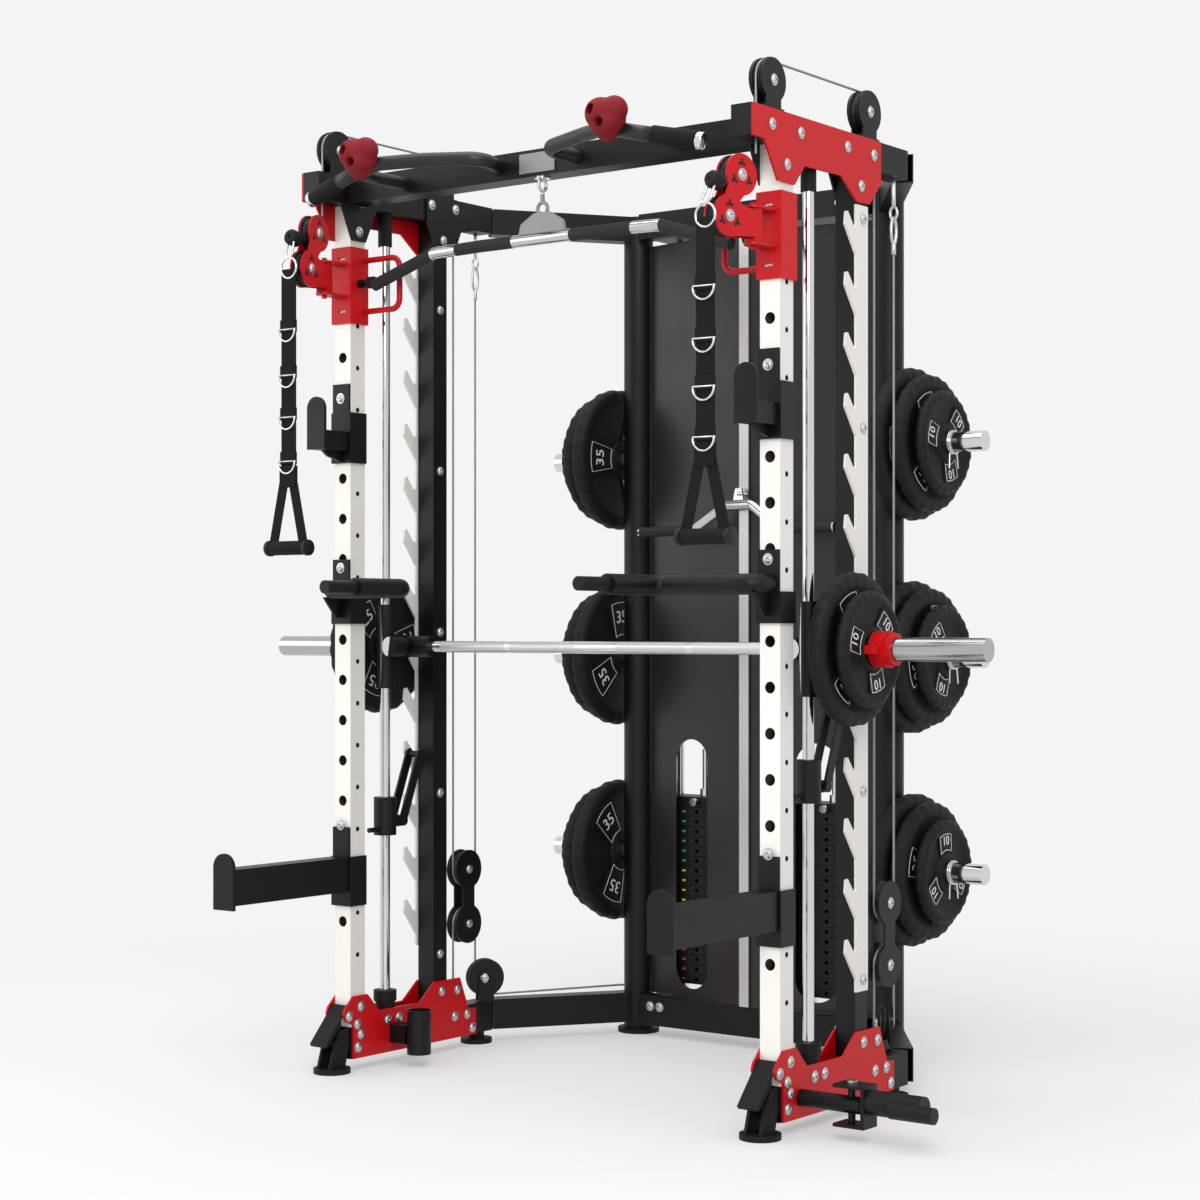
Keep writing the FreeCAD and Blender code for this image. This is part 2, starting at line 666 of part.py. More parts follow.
def weight(name, wide, thick, bore, x, y, z):
    disc = rod(name + "Disc", f"{wide} / 2", thick, x, y, z, "x")
    bores = [rod(name + "Bore", bore, f"{thick} + 20", f"{x} - 10", y, z, "x")]
    for side, place in (("Near", f"{x} - 10"), ("Far", f"{x} + {thick} - 8")):
        well = cut(name + side + "Well", rod(name + side + "Wide", f"{wide} / 2 - 16", "18", place, y, z, "x"),
                   rod(name + side + "Hub", f"{bore} + 26", "18", place, y, z, "x"))
        bores.append(well)
    return cut(name, disc, *bores)


stored = []
for count in range(3):
    high = f"hornFirst + hornPitch * {count}"
    start = f"{postX} + postRadius + 8"
    for name, wide, thick in sets:
        stored.append(weight(f"Stored{name}{count}", wide, thick, "hornRadius + boreGap", start, f"{front} + postBack", high))
        start = f"{start} + {thick} + 3"
stored = gather("StoredSet", *stored)
both("stored_plates", stored)
clipX = f"{postX} + postRadius + 8 + thickLarge + thickMedium + thickSmall + 9"
clips = []
for count in range(3):
    high = f"hornFirst + hornPitch * {count}"
    band = cut(f"ClipBand{count}", rod(f"ClipOut{count}", "hornRadius + 5", "14", clipX, f"{front} + postBack", high, "x"),
               rod(f"ClipIn{count}", "hornRadius + 0.3", "16", f"{clipX} - 1", f"{front} + postBack", high, "x"))
    lever = rod(f"ClipLever{count}", "3", "42", f"{clipX} + 7", f"{front} + postBack", f"{high} - hornRadius - 44")
    clips.append(fuse(f"Clip{count}", band, lever))
both("horn_clips", *clips)

# J-hooks, dip handles and spotter arms: each hangs on a sleeve round the front upright.
faceY = f"{front} - tube / 2 - 1"


def saddle(name, low, high, tall):
    """A tall front plate with a three-sided sleeve below it, one millimetre clear of the upright."""
    face = box(name + "Face", "tube + 2", "6", high, f"{inner} - 1", f"{faceY} - 6", low)
    side = box(name + "Side", "5", "tube + 7", tall, f"{outer} + 1", f"{faceY} - 6", low)
    other = box(name + "Other", "5", "tube + 7", tall, f"{inner} - 6", f"{faceY} - 6", low)
    return [face, side, other]


hookPieces = saddle("Hook", "hookHigh", "188", "120")
hookPieces += [
    box("HookCradle", "44", "hookReach - tube / 2 - 6", "46", f"{frameX} - 22", f"{front} - hookReach + 0", "hookHigh + 28"),
    box("HookFront", "56", "8", "96", f"{frameX} - 28", f"{front} - hookReach - 8", "hookHigh + 28"),
    rod("HookRound", "28", "8", frameX, f"{front} - hookReach - 8", "hookHigh + 124", "y"),
    plate("HookWeb", "YZ", [("-30", "2"), ("-78", "14"), ("-104", "32"), ("-30", "32")], "8", f"{frameX} - 4", front, "hookHigh"),
]
both("j_hooks", fuse("JHook", *hookPieces))
handleLine = line - read("dipReach")
dipInner = frameHalf - read("dipSpan")
handle = pipe([(frameHalf, line - square / 2 - 4, read("dipHigh")), (frameHalf, handleLine, read("dipHigh")),
               (dipInner, handleLine, read("dipHigh")), (dipInner, line - 254, read("dipHigh"))],
              34, read("dipThick"))
tail = Part.makeCylinder(read("dipThin"), 97, Vector(dipInner, line - 351, read("dipHigh")), Vector(0, 1, 0))
dipPieces = saddle("Dip", "dipHigh - 81", "153", "66")
dipPieces += [
    solid("DipTube", handle.fuse(tail)),
    plate("DipWeb", "YZ", [("-30", "-66"), ("-50", "-66"), ("-92", "-18"), ("-30", "-18")], "6", f"{frameX} - 3", front, "dipHigh"),
]
both("dip_handles", fuse("DipHandle", *dipPieces))
armPieces = saddle("Arm", "armHigh - 35", "188", "118")
armPieces += [
    tubing("ArmTube", "tube", "armReach - 8 - tube / 2", "armTall", inner, f"{front} - armReach + 8", "armHigh", "y"),
    box("ArmEnd", "64", "8", "96", f"{frameX} - 32", f"{front} - armReach", "armHigh - 10"),
    rod("ArmEndRound", "32", "8", frameX, f"{front} - armReach", "armHigh + 86", "y"),
]
both("spotter_arms", fuse("SpotterArm", *armPieces))

# Smith bar: carriages on the guide rods, the bar turns in them and carries the hooks, plates and collars.
carriage = rod("CarriageTube", "carriageRadius", "carriageTall", frameX, f"{front} + rodLine", "carriageLow")
arm = box("CarriageArm", "40", "barLine - rodLine", "56", f"{frameX} - 20", f"{front} + rodLine", "barHigh - 28")
eyeBlock = rod("CarriageEye", "28", "40", f"{frameX} - 20", f"{front} + barLine", "barHigh", "x")
boss = rod("CarriageBoss", "24", "44", f"{frameX} - 34", f"{front} + rodLine - 22", "barHigh", "y")
rodBore = rod("CarriageBore", "rodRadius + slideGap", "carriageTall + 20", frameX, f"{front} + rodLine", "carriageLow - 10")
barBore = rod("CarriageBarBore", "barRadius + axleGap", "80", f"{frameX} - 40", f"{front} + barLine", "barHigh", "x")
both("smith_carriages", cut("Carriage", fuse("CarriageBody", carriage, arm, eyeBlock, boss), rodBore, barBore))
shaft = rod("BarShaft", "barRadius", f"2 * {sleeveStart}", f"-{sleeveStart}", f"{front} + barLine", "barHigh", "x")
barSolids = [shaft]
for side, sleeveX, flangeX in (
    ("Right", sleeveStart, sleeveStart),
    ("Left", f"-{sleeveStart} - sleeveLength", f"-{sleeveStart} - 8"),
):
    barSolids.append(rod("Sleeve" + side, "sleeveRadius", "sleeveLength", sleeveX, f"{front} + barLine", "barHigh", "x"))
    barSolids.append(rod("Flange" + side, "sleeveRadius + 9", "8", flangeX, f"{front} + barLine", "barHigh", "x"))
node("smith_bar", fuse("SmithBar", *barSolids))
hub = rod("HookHub", "26", "8", f"{outer} + rackThick + 3", f"{front} + barLine", "barHigh", "x")
finger = rod("HookFinger", "7", "rackThick + 4", f"{outer} - 1", f"{front} + barLine", "barHigh + hookArm", "x")
lever = box("HookLever", "6", "22", "hookArm", f"{outer} + rackThick + 3", f"{front} + barLine - 11", "barHigh")
pad = rod("HookPad", "11", "6", f"{outer} + rackThick + 3", f"{front} + barLine", "barHigh + hookArm", "x")
inboard = rod("InboardSleeve", "26", "72", f"{inner} - 76", f"{front} + barLine", "barHigh", "x")
hookBore = rod("HookBore", "barRadius", "200", f"{inner} - 90", f"{front} + barLine", "barHigh", "x")
both("bar_hooks", cut("BarHook", fuse("HookBody", hub, finger, lever, pad), hookBore), cut("InboardDrilled", inboard, hookBore))
loaded = []
start = f"{sleeveStart} + 10"
for name, wide, thick in sets[1:]:
    loaded.append(weight("Loaded" + name, wide, thick, "sleeveRadius + boreGap", start, f"{front} + barLine", "barHigh"))
    start = f"{start} + {thick} + 2"
both("bar_plates", *loaded)
collar = cut(
    "Collar",
    fuse("CollarBody",
         rod("CollarBand", "39", "34", f"{start} + 2", f"{front} + barLine", "barHigh", "x"),
         rod("CollarLip", "34", "14", f"{start} + 36", f"{front} + barLine", "barHigh", "x"),
         box("CollarLever", "26", "34", "18", f"{start} + 6", f"{front} + barLine - 60", "barHigh - 9")),
    rod("CollarBore", "sleeveRadius + 0.3", "90", f"{start} - 10", f"{front} + barLine", "barHigh", "x"))
both("bar_collars", collar)

# Safety stops: collars on the guide rods, with link arms up to the rack. The right one stands a notch higher.
stops = {}
for side, rise in (("Right", "tipPitch"), ("Left", "0")):
    low = f"stopLow + {rise}"
    collar = rod("StopCollar" + side, "stopRadius", "stopTall", frameX, f"{front} + rodLine", low)
    lug = box("StopLug" + side, "30", "46", "26", f"{frameX} - 21", f"{front} + rodLine + 6", f"{low} + 20")
    pivot = rod("StopPivot" + side, "12", "46", f"{frameX} - 23", f"{front} + rodLine + 46", f"{low} + 33", "x")
    pin = rod("StopPin" + side, "6", "58", f"{frameX}", f"{front} + rodLine - 58", f"{low} + 14", "y")
    links = []
    for count, place in enumerate(("- 21", "+ 15")):
        links.append(plate(f"StopLink{side}{count}", "YZ", [("30", "28"), ("54", "24"), ("122", "196"), ("112", "206"), ("98", "200")],
                           "6", f"{frameX} {place}", f"{front} + rodLine", low))
    tie = rod("StopTie" + side, "8", "42", f"{frameX} - 21", f"{front} + rodLine + 108", f"{low} + 192", "x")
    bore = rod("StopBore" + side, "rodRadius + slideGap", "stopTall + 20", frameX, f"{front} + rodLine", f"{low} - 10")
    stops[side] = cut("Stop" + side, fuse("StopBody" + side, collar, lug, pivot, pin, tie, *links), bore)
node("safety_stop_right", stops["Right"])
node("safety_stop_left", mirror("StopLeftMirror", stops["Left"]))

# Pulleys: grooved wheels on axles.


def wheel(name, radius, x, y, z):
    disc = rod(name + "Disc", radius, "pulleyThick", f"{x} - pulleyThick / 2", y, z, "x")
    groove = ring(name + "Groove", radius, "pulleyGroove", x, y, z, "x")
    bore = rod(name + "Bore", "axleRadius + axleGap", "pulleyThick + 20", f"{x} - pulleyThick / 2 - 10", y, z, "x")
    return cut(name, disc, groove, bore)


def axle(name, x, y, z):
    return rod(name, "axleRadius", "pulleyThick + 2 * cheekThick + 6", f"{x} - pulleyThick / 2 - cheekThick - 3", y, z, "x")


brackets = []
for place, along in (("Front", frontWheelY), ("Rear", rearWheelY)):
    pair(f"top_pulley_{place.lower()}", wheel("Top" + place, "pulleyRadius", cablePlane, along, topPulleyHigh))
    pieces = [axle("TopAxle" + place, cablePlane, along, topPulleyHigh),
              box("TopBase" + place, "pulleyThick + 2 * cheekThick + 4", f"2 * ({wrap} - 5)", "5",
                  f"{cablePlane} - pulleyThick / 2 - cheekThick - 2", f"{along} - ({wrap} - 5)", topHigh)]
    for side, shift in (("Out", "pulleyThick / 2 + 1"), ("In", "-pulleyThick / 2 - 1 - cheekThick")):
        pieces.append(box(f"TopCheek{place}{side}", "cheekThick", "56", "topPulleyRise",
                          f"{cablePlane} + {shift}", f"{along} - 28", topHigh))
        pieces.append(rod(f"TopRound{place}{side}", "pulleyRadius - 1", "cheekThick", f"{cablePlane} + {shift}", along, topPulleyHigh, "x"))
    brackets.append(fuse("TopBracket" + place, *pieces))
lowTurn = math.degrees(math.atan2(lowStart[1] - postLine, lowStart[0] - postHalf))
lowPieces = [axle("LowAxle", "0", "0", "0")]
for side, shift in (("Out", "pulleyThick / 2 + 1"), ("In", "-pulleyThick / 2 - 1 - cheekThick")):
    lowPieces.append(box("LowCheek" + side, "cheekThick", "40", "66", shift, "-20", "-60"))
    lowPieces.append(rod("LowRound" + side, "20", "cheekThick", shift, "0", "0", "x"))
lowBracket = fuse("LowBracket", *lowPieces)
lowWheel = wheel("LowWheel", "pulleyRadius", "0", "0", "0")
for piece in (lowBracket, lowWheel):
    piece.Placement = Placement(Vector(), Rotation(Vector(0, 0, 1), lowTurn - 90))
    put(piece, lowPulleyX, f"{front} + lowPulleyLine", "lowPulleyHigh")
pair("low_pulley", lowWheel)
brackets.append(lowBracket)
both("pulley_brackets", *brackets)

# Floating double-pulley blocks between the cable loops.


def block(name, x, y, z):
    pieces = []
    for side, shift in (("Out", "pulleyThick / 2 + 1"), ("In", "-pulleyThick / 2 - 1 - cheekThick")):
        pieces.append(box(f"{name}Plate{side}", "cheekThick", "44", "blockPitch", f"{x} + {shift}", f"{y} - 22", f"{z} - blockPitch / 2"))
        for end, sign in (("High", "+"), ("Low", "-")):
            pieces.append(rod(f"{name}Disc{side}{end}", "pulleyRadius + 1.5", "cheekThick", f"{x} + {shift}", y, f"{z} {sign} blockPitch / 2", "x"))
    for end, sign in (("High", "+"), ("Low", "-")):
        pieces.append(axle(f"{name}Axle{end}", x, y, f"{z} {sign} blockPitch / 2"))
        pieces.append(wheel(f"{name}Wheel{end}", "pulleyRadius", x, y, f"{z} {sign} blockPitch / 2"))
    return gather(name, fuse(name + "Frame", *pieces[:-4], pieces[-4], pieces[-2]), pieces[-3], pieces[-1])


pair("float_block", block("FloatBlock", cablePlane, blockY, "blockHigh"))

# Trolleys on the front uprights, with swivelling double pulleys in front.
inside = box("TrolleyInside", "tube + 2", "tube + 2", "trolleyTall + 20", f"{inner} - 1", f"{front} - tube / 2 - 1", "trolleyLow - 10")
shell = box("TrolleyShell", "tube + 2 + 2 * trolleyWall", "tube + 2 + 2 * trolleyWall", "trolleyTall",
            f"{inner} - 1 - trolleyWall", f"{front} - tube / 2 - 1 - trolleyWall", "trolleyLow")
slotHigh = box("TrolleySlotHigh", "24", "20", "6", f"{frameX} - 14", f"{front} - tube / 2 - 15", "trolleyLow + 152")
slotLow = box("TrolleySlotLow", "24", "20", "6", f"{frameX} - 14", f"{front} - tube / 2 - 15", "trolleyLow + 26")
ears = []
for name, high in (("High", "trolleyLow + 138"), ("Low", "trolleyLow + 62")):
    wing = box("Ear" + name, "40", "pivotReach - tube / 2 - 6", "5", f"{frameX} - 20", f"{front} - pivotReach", high)
    tip = rod("EarTip" + name, "20", "5", frameX, f"{front} - pivotReach", high)
    drill = rod("EarDrill" + name, "6 + axleGap", "20", frameX, f"{front} - pivotReach", f"{high} - 5")
    ears.append(cut("EarDrilled" + name, fuse("EarBody" + name, wing, tip), drill))
sideFace = read("frameWide") / 2 - square / 2 - 1 - read("trolleyWall")
handleLow = read("trolleyLow") + 31
handleLine = line + 18
pull = pipe([(sideFace + 1, handleLine, handleLow), (sideFace - 112, handleLine, handleLow),
             (sideFace - 112, handleLine, handleLow + 122), (sideFace + 1, handleLine, handleLow + 122)], 24, 7)
popPin = rod("PopPin", "5", "34", f"{inner} - 40", front, "trolleyLow + 96", "x")
popKnob = rod("PopKnob", "14", "16", f"{inner} - 54", front, "trolleyLow + 96", "x")
popBase = rod("PopBase", "10", "14", f"{inner} - 20", front, "trolleyLow + 96", "x")
plug = rod("TrolleyPlug", "8", "2", f"{inner} - 3 - trolleyWall", front, "trolleyLow + 128", "x")
sleeve = cut("TrolleySleeve", shell, inside, slotHigh, slotLow)
pair("trolley", fuse("Trolley", sleeve, *ears, solid("TrolleyPull", pull), popPin, popKnob, popBase, plug))
pivotY = f"({front} - pivotReach)"


def turned(piece):
    """Turns a piece of the swivel about the swivel's own upright axis."""
    piece.Placement = Placement(Vector(), Rotation(Vector(0, 0, 1), 0))
    return bind(
        piece,
        Placement_Rotation_Angle="-swivelTurn",
        Placement_Base_x=f"{frameX} - {frameX} * cos(swivelTurn) - {pivotY} * sin(swivelTurn)",
        Placement_Base_y=f"{pivotY} - {pivotY} * cos(swivelTurn) + {frameX} * sin(swivelTurn)",
    )


wheels = (("Upper", "upperReach", "upperHigh"), ("Lower", "lowerReach", "lowerHigh"))
cheeks = []
for side, shift in (("Out", "pulleyThick / 2 + 1"), ("In", "-pulleyThick / 2 - 1 - cheekThick")):
    pieces = []
    for name, reach, high in wheels:
        pieces.append(rod(f"Swivel{name}{side}", "swivelRadius + 1", "cheekThick", f"{frameX} + {shift}",
                          f"{pivotY} - {reach}", high, "x"))
    waist = [("-upperReach - 31", "upperHigh - 12"), ("-lowerReach - 16", "lowerHigh + 34"), ("-lowerReach + 26", "lowerHigh + 28"),
             ("-upperReach + 14", "upperHigh - 34")]
    pieces.append(plate(f"SwivelWaist{side}", "YZ", waist, "cheekThick", f"{frameX} + {shift}", pivotY, "0"))
    heel = [("-lowerReach - 4", "lowerHigh - 42"), ("10", "lowerHigh - 34"), ("10", "lowerHigh + 12"), ("-lowerReach + 20", "lowerHigh + 30")]
    pieces.append(plate(f"SwivelHeel{side}", "YZ", heel, "cheekThick", f"{frameX} + {shift}", pivotY, "0"))
    cheeks += pieces
for name, reach, high in wheels:
    cheeks.append(axle("SwivelAxle" + name, frameX, f"{pivotY} - {reach}", high))
yokeLow = "trolleyLow + 62 + 5 + 0.5"
yoke = box("SwivelYoke", "pulleyThick + 2 + 2 * cheekThick", "20", "trolleyLow + 138 - 0.5 - (trolleyLow + 67.5)",
           f"{frameX} - pulleyThick / 2 - 1 - cheekThick", f"{pivotY} - 10", yokeLow)
spindle = rod("SwivelSpindle", "6", "96", frameX, pivotY, "trolleyLow + 54")
swivel = turned(fuse("Swivel", *cheeks, yoke, spindle))
pair("swivel", swivel)
for name, reach, high in wheels:
    pair(f"swivel_pulley_{name.lower()}", turned(wheel("SwivelWheel" + name, "swivelRadius", frameX, f"{pivotY} - {reach}", high)))

# Ankle-height nylon straps that hang from the cable ends, with rings and a stirrup grip.
strapY = f"{front} - strapReach"
webbing = box("Webbing", "strapWide", "strapThick", "strapTop - strapLow", f"{strapX} - strapWide / 2", strapY, "strapLow")
legs = [("0", "strapLow + 2"), ("strapWide / 2 - 6", "strapLow + 2"), ("gripLength / 2 - 8", "gripHigh"),
        ("gripLength / 2 - 24", "gripHigh")]
legRight = plate("StirrupRight", "XZ", legs, "strapThick", strapX, f"{strapY} + strapThick", "0")
legsLeft = [(f"-({across})", along) for across, along in legs]
legLeft = plate("StirrupLeft", "XZ", legsLeft, "strapThick", strapX, f"{strapY} + strapThick", "0")
grip = rod("StrapGrip", "gripRadius", "gripLength", f"{strapX} - gripLength / 2", f"{strapY} + strapThick / 2", "gripHigh", "x")
ball = doc.addObject("Part::Sphere", "StopBall")
bind(ball, Radius="ballRadius")
put(ball, ballX, f"{front} - ballReach", "ballHigh")
hang = Vector(frameHalf - read("strapIn"), line - read("strapReach") + read("strapThick") / 2, read("strapTop") - 4)
fall = Vector(frameHalf - read("ballIn"), line - read("ballReach"), read("ballHigh")) - hang
clip = solid("StrapClip", Part.makeCylinder(5, fall.Length, hang, fall))
pair("strap", fuse("Strap", webbing, legRight, legLeft, grip, clip, ball))

# Lat bar under the pull-up beam.
latLine = line - read("latHang")
latLevel = read("topLow") - read("latDrop")
lat = pipe([(-508, latLine, latLevel - 61), (-322, latLine, latLevel - 3), (-180, latLine, latLevel), (180, latLine, latLevel),
            (322, latLine, latLevel - 3), (508, latLine, latLevel - 61)], 70, read("latTube"))
latPlate = plate("LatPlate", "XZ", [("-67", "10"), ("67", "10"), ("60", "36"), ("22", "58"), ("-22", "58"), ("-60", "36")],
                 "8", "0", f"{front} - latHang + 4", latHigh)
latEye = ring("LatRing", "14", "4", "0", f"{front} - latHang", f"{latHigh} + 66", "y")
latLink = rod("LatLink", "5", "latDrop - 116", "0", f"{front} - latHang", f"{latHigh} + 78")
node("lat_bar", fuse("LatBar", solid("LatTube", lat), latPlate, latEye, latLink))

# Landmine: a pivot block on the right base gusset, with a stub tube and a crosswise end.
pieces = [
    rod("MineBolt", "mineBolt", "92", minePin, f"{front} + mineLine", "mineHigh - 46"),
    rod("MineBoltHead", "11", "6", minePin, f"{front} + mineLine", "mineHigh + 45"),
    box("MineWeb", "8", "54", "88", f"{minePin} + 36", f"{front} + mineLine - 27", "mineHigh - 44"),
    rod("MineSleeve", "26", "128", f"{minePin} + 42", f"{front} + mineLine", "mineHigh + 10", "x"),
    rod("MineHandle", "17", "100", f"{minePin} + 116", f"{front} + mineLine - 40", "mineHigh + 8", "x"),
    box("MineBridge", "30", "50", "24", f"{minePin} + 126", f"{front} + mineLine - 40", "mineHigh - 2"),
]
for name, low in (("MineTop", "mineHigh + 37"), ("MineLow", "mineHigh - 44")):
    pieces.append(box(name, "68", "54", "7", f"{minePin} - 30", f"{front} + mineLine - 27", low))
node("landmine", fuse("Landmine", *pieces))

# Cables: straight runs between the pulleys and part turns round them.
wire = read("cableRadius")
lift = read("pulleyRadius") - read("pulleyGroove") + wire + 0.6
plane = frameHalf + read("cableShift")
topLine = read("topLow") + read("topTall") + read("topPulleyRise")
frontWheel = line - read("pivotReach") + lift
rearWheel = line + read("rearPulley")
blockLine = rearWheel + 2 * lift
blockTop = read("blockHigh") + read("blockPitch") / 2
blockLow = read("blockHigh") - read("blockPitch") / 2
over = [(plane, frontWheel - lift, read("upperHigh") + 40), (plane, frontWheel - lift, topLine + lift),
        (plane, rearWheel + lift, topLine + lift), (plane, rearWheel + lift, blockTop - lift),
        (plane, blockLine + lift, blockTop - lift), (plane, blockLine + lift, read("topLow"))]
under = [(plane, blockLine - lift, read("railBottom") + read("railTall")), (plane, blockLine - lift, blockLow + lift),
         (plane, blockLine + lift, blockLow + lift), (plane, blockLine + lift, read("lowPulleyHigh") + 20)]


def cable(points):
    """Corners are rounded to the pulleys that stand in them."""
    edges = []
    corners = [Vector(*point) for point in points]
    start = corners[0]
    for before, corner, after in zip(corners, corners[1:], corners[2:]):
        back = (before - corner).normalize()
        ahead = (after - corner).normalize()
        first = corner + back * lift
        last = corner + ahead * lift
        middle = corner + (back + ahead) * (lift * (1 - math.sqrt(0.5)))
        if (first - start).Length > 0.01:
            edges.append(Part.makeLine(start, first))
        edges.append(Part.Arc(first, middle, last).toShape())
        start = last
    edges.append(Part.makeLine(start, corners[-1]))
    path = Part.Wire(edges)
    profile = Part.Wire(Part.makeCircle(wire, corners[0], corners[1] - corners[0]))
    return path.makePipeShell([profile], True, True)


both("cables", solid("CableOver", cable(over)), solid("CableUnder", cable(under)))

# Bolts: zinc heads with washers on the gussets, plates and rear beam.
bolts = []


def bolt(x, y, z, axis="x"):
    bolts.append(rod(f"Bolt{len(bolts)}", "boltRadius", "boltTall", x, y, z, axis))


topBolts = ((-63, 31), (47, 30), (234, 31), (344, 30), (-6, -44), (291, -45))
baseBolts = ((6, 152), (-35, 133), (-6, 111), (6, 86), (-4, 56), (100, 108), (140, 109), (300, 153), (359, 150),
             (349, 84), (397, 84), (417, 47))
for y, z in topBolts:
    bolt(f"{outer} + gussetThick", f"{front} + ({y}) * uprightGap / 299", f"topLow + {z}")
for y, z in baseBolts:
    bolt(f"{outer} + gussetThick", f"{front} + ({y}) * uprightGap / 299", z)
    bolt(f"{inner} - gussetThick - boltTall", f"{front} + ({y}) * uprightGap / 299", z)
for y, z in ((262, 40), (352, 40), (306, -44)):
    bolt(f"{inner} - gussetThick - boltTall", f"{front} + ({y}) * uprightGap / 299", f"topLow + {z}")
bolt(f"{inner} - gussetThick - boltTall", front, "topLow - 62")
for count in range(5):
    bolt(f"{inner} - boltTall", rear, f"245 + 400 * {count}")
for z in ("1945", "1490", "700", "290"):
    bolt(f"{outer} + 1 + rackThick", f"{front} + 296", z)
for x in (270, 300):
    bolt(x, f"{front} + beamFront - boltTall", "railBottom + 50", "y")
    bolt(x, f"{front} + beamFront - boltTall", "topLow + 32", "y")
both("frame_bolts", *bolts)

doc.recompute()

for obj in doc.Objects:
    if "Invalid" in obj.State or "Error" in obj.State:
        raise RuntimeError(f"{obj.Name} did not recompute: {obj.State}")
for label, obj in nodes.items():
    if obj.Shape.isNull() or not obj.Shape.isValid() or not obj.Shape.Solids:
        raise RuntimeError(f"{label} has no valid solid")

os.makedirs("parts", exist_ok=True)
for label, obj in nodes.items():
    obj.Shape.exportStep(f"parts/{label}.step")
    print(label, len(obj.Shape.Solids), round(obj.Shape.Volume / 1000), "cm3")
print(len(nodes), "nodes")
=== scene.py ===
import json
import math
import bpy
from mathutils import Matrix, Vector


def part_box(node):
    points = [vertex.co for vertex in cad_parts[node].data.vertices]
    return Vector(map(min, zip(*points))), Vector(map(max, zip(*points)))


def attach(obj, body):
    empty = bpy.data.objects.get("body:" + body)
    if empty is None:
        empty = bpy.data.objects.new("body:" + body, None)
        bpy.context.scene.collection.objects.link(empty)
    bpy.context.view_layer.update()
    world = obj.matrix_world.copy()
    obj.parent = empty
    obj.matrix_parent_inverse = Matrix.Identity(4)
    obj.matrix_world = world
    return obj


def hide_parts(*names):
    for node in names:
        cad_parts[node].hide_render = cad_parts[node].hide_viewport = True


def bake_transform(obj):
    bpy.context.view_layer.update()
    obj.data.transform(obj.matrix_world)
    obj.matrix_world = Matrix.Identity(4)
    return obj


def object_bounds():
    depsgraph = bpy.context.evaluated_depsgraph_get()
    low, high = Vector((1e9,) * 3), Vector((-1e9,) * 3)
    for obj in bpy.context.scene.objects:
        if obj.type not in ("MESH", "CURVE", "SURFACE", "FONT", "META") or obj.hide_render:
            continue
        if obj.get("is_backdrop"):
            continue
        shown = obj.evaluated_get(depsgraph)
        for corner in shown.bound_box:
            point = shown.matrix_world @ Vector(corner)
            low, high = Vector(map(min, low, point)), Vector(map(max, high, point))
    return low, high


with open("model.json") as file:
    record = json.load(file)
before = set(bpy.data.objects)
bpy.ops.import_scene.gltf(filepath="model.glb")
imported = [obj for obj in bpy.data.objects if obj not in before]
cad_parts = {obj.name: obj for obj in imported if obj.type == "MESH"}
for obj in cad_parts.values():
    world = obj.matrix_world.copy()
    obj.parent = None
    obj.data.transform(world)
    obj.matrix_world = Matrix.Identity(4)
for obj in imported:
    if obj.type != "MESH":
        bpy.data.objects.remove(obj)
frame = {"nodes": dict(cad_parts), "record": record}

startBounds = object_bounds()
nodes = frame["nodes"]
scene = bpy.context.scene
sides = (("right", 1), ("left", -1))

# Camera, floor and studio light
view = {"place": (3.324, -4.4995, 1.055), "turn": (90, 0, 37.2), "lens": 71.6, "lift": 0.0234}
bpy.ops.object.camera_add(location=view["place"], rotation=[math.radians(a) for a in view["turn"]])
camera = bpy.context.object
camera.data.lens = view["lens"]
camera.data.sensor_width = 36
camera.data.shift_y = view["lift"]
camera.data.clip_end = 200
scene.camera = camera
scene.view_settings.view_transform = "Standard"


def addNode(tree, kind, inputs=None, **settings):
    made = tree.nodes.new(kind)
    for name, value in settings.items():
        setattr(made, name, value)
    for name, value in (inputs or {}).items():
        if isinstance(value, bpy.types.NodeSocket):
            tree.links.new(value, made.inputs[name])
        else:
            made.inputs[name].default_value = value
    return made


def linear(code):
    parts = [int(code[i:i + 2], 16) / 255 for i in (0, 2, 4)]
    return [p / 12.92 if p <= 0.04045 else ((p + 0.055) / 1.055) ** 2.4 for p in parts] + [1]


studio = {"white": "F4F4F4", "ground": "DEDEDE", "near": 1.6, "far": 3.2, "key": 120, "fill": 46, "top": 70}
world = bpy.data.worlds.new("studio")
scene.world = world
world.use_nodes = True
world.node_tree.nodes["Background"].inputs["Color"].default_value = linear(studio["white"])
world.node_tree.nodes["Background"].inputs["Strength"].default_value = 1.0

floorPaint = bpy.data.materials.new("paper floor")  # matte backdrop paper, fading into the background
floorPaint.use_nodes = True
tree = floorPaint.node_tree
surface = tree.nodes["Principled BSDF"]
surface.inputs["Base Color"].default_value = linear(studio["ground"])
surface.inputs["Roughness"].default_value = 0.9
place = addNode(tree, "ShaderNodeTexCoord")
far = addNode(tree, "ShaderNodeVectorMath", {0: place.outputs["Object"]}, operation="LENGTH")
fade = addNode(tree, "ShaderNodeMapRange", {"Value": far.outputs["Value"], "From Min": studio["near"],
                                            "From Max": studio["far"], "To Min": 0.35, "To Max": 1.0})
glow = addNode(tree, "ShaderNodeEmission", {"Color": linear(studio["white"])})
blend = addNode(tree, "ShaderNodeMixShader", {0: fade.outputs[0], 1: surface.outputs[0], 2: glow.outputs[0]})
tree.links.new(blend.outputs[0], tree.nodes["Material Output"].inputs["Surface"])
bpy.ops.mesh.primitive_plane_add(size=120)
floor = bpy.context.object
floor.name = "floor"
floor.data.materials.append(floorPaint)
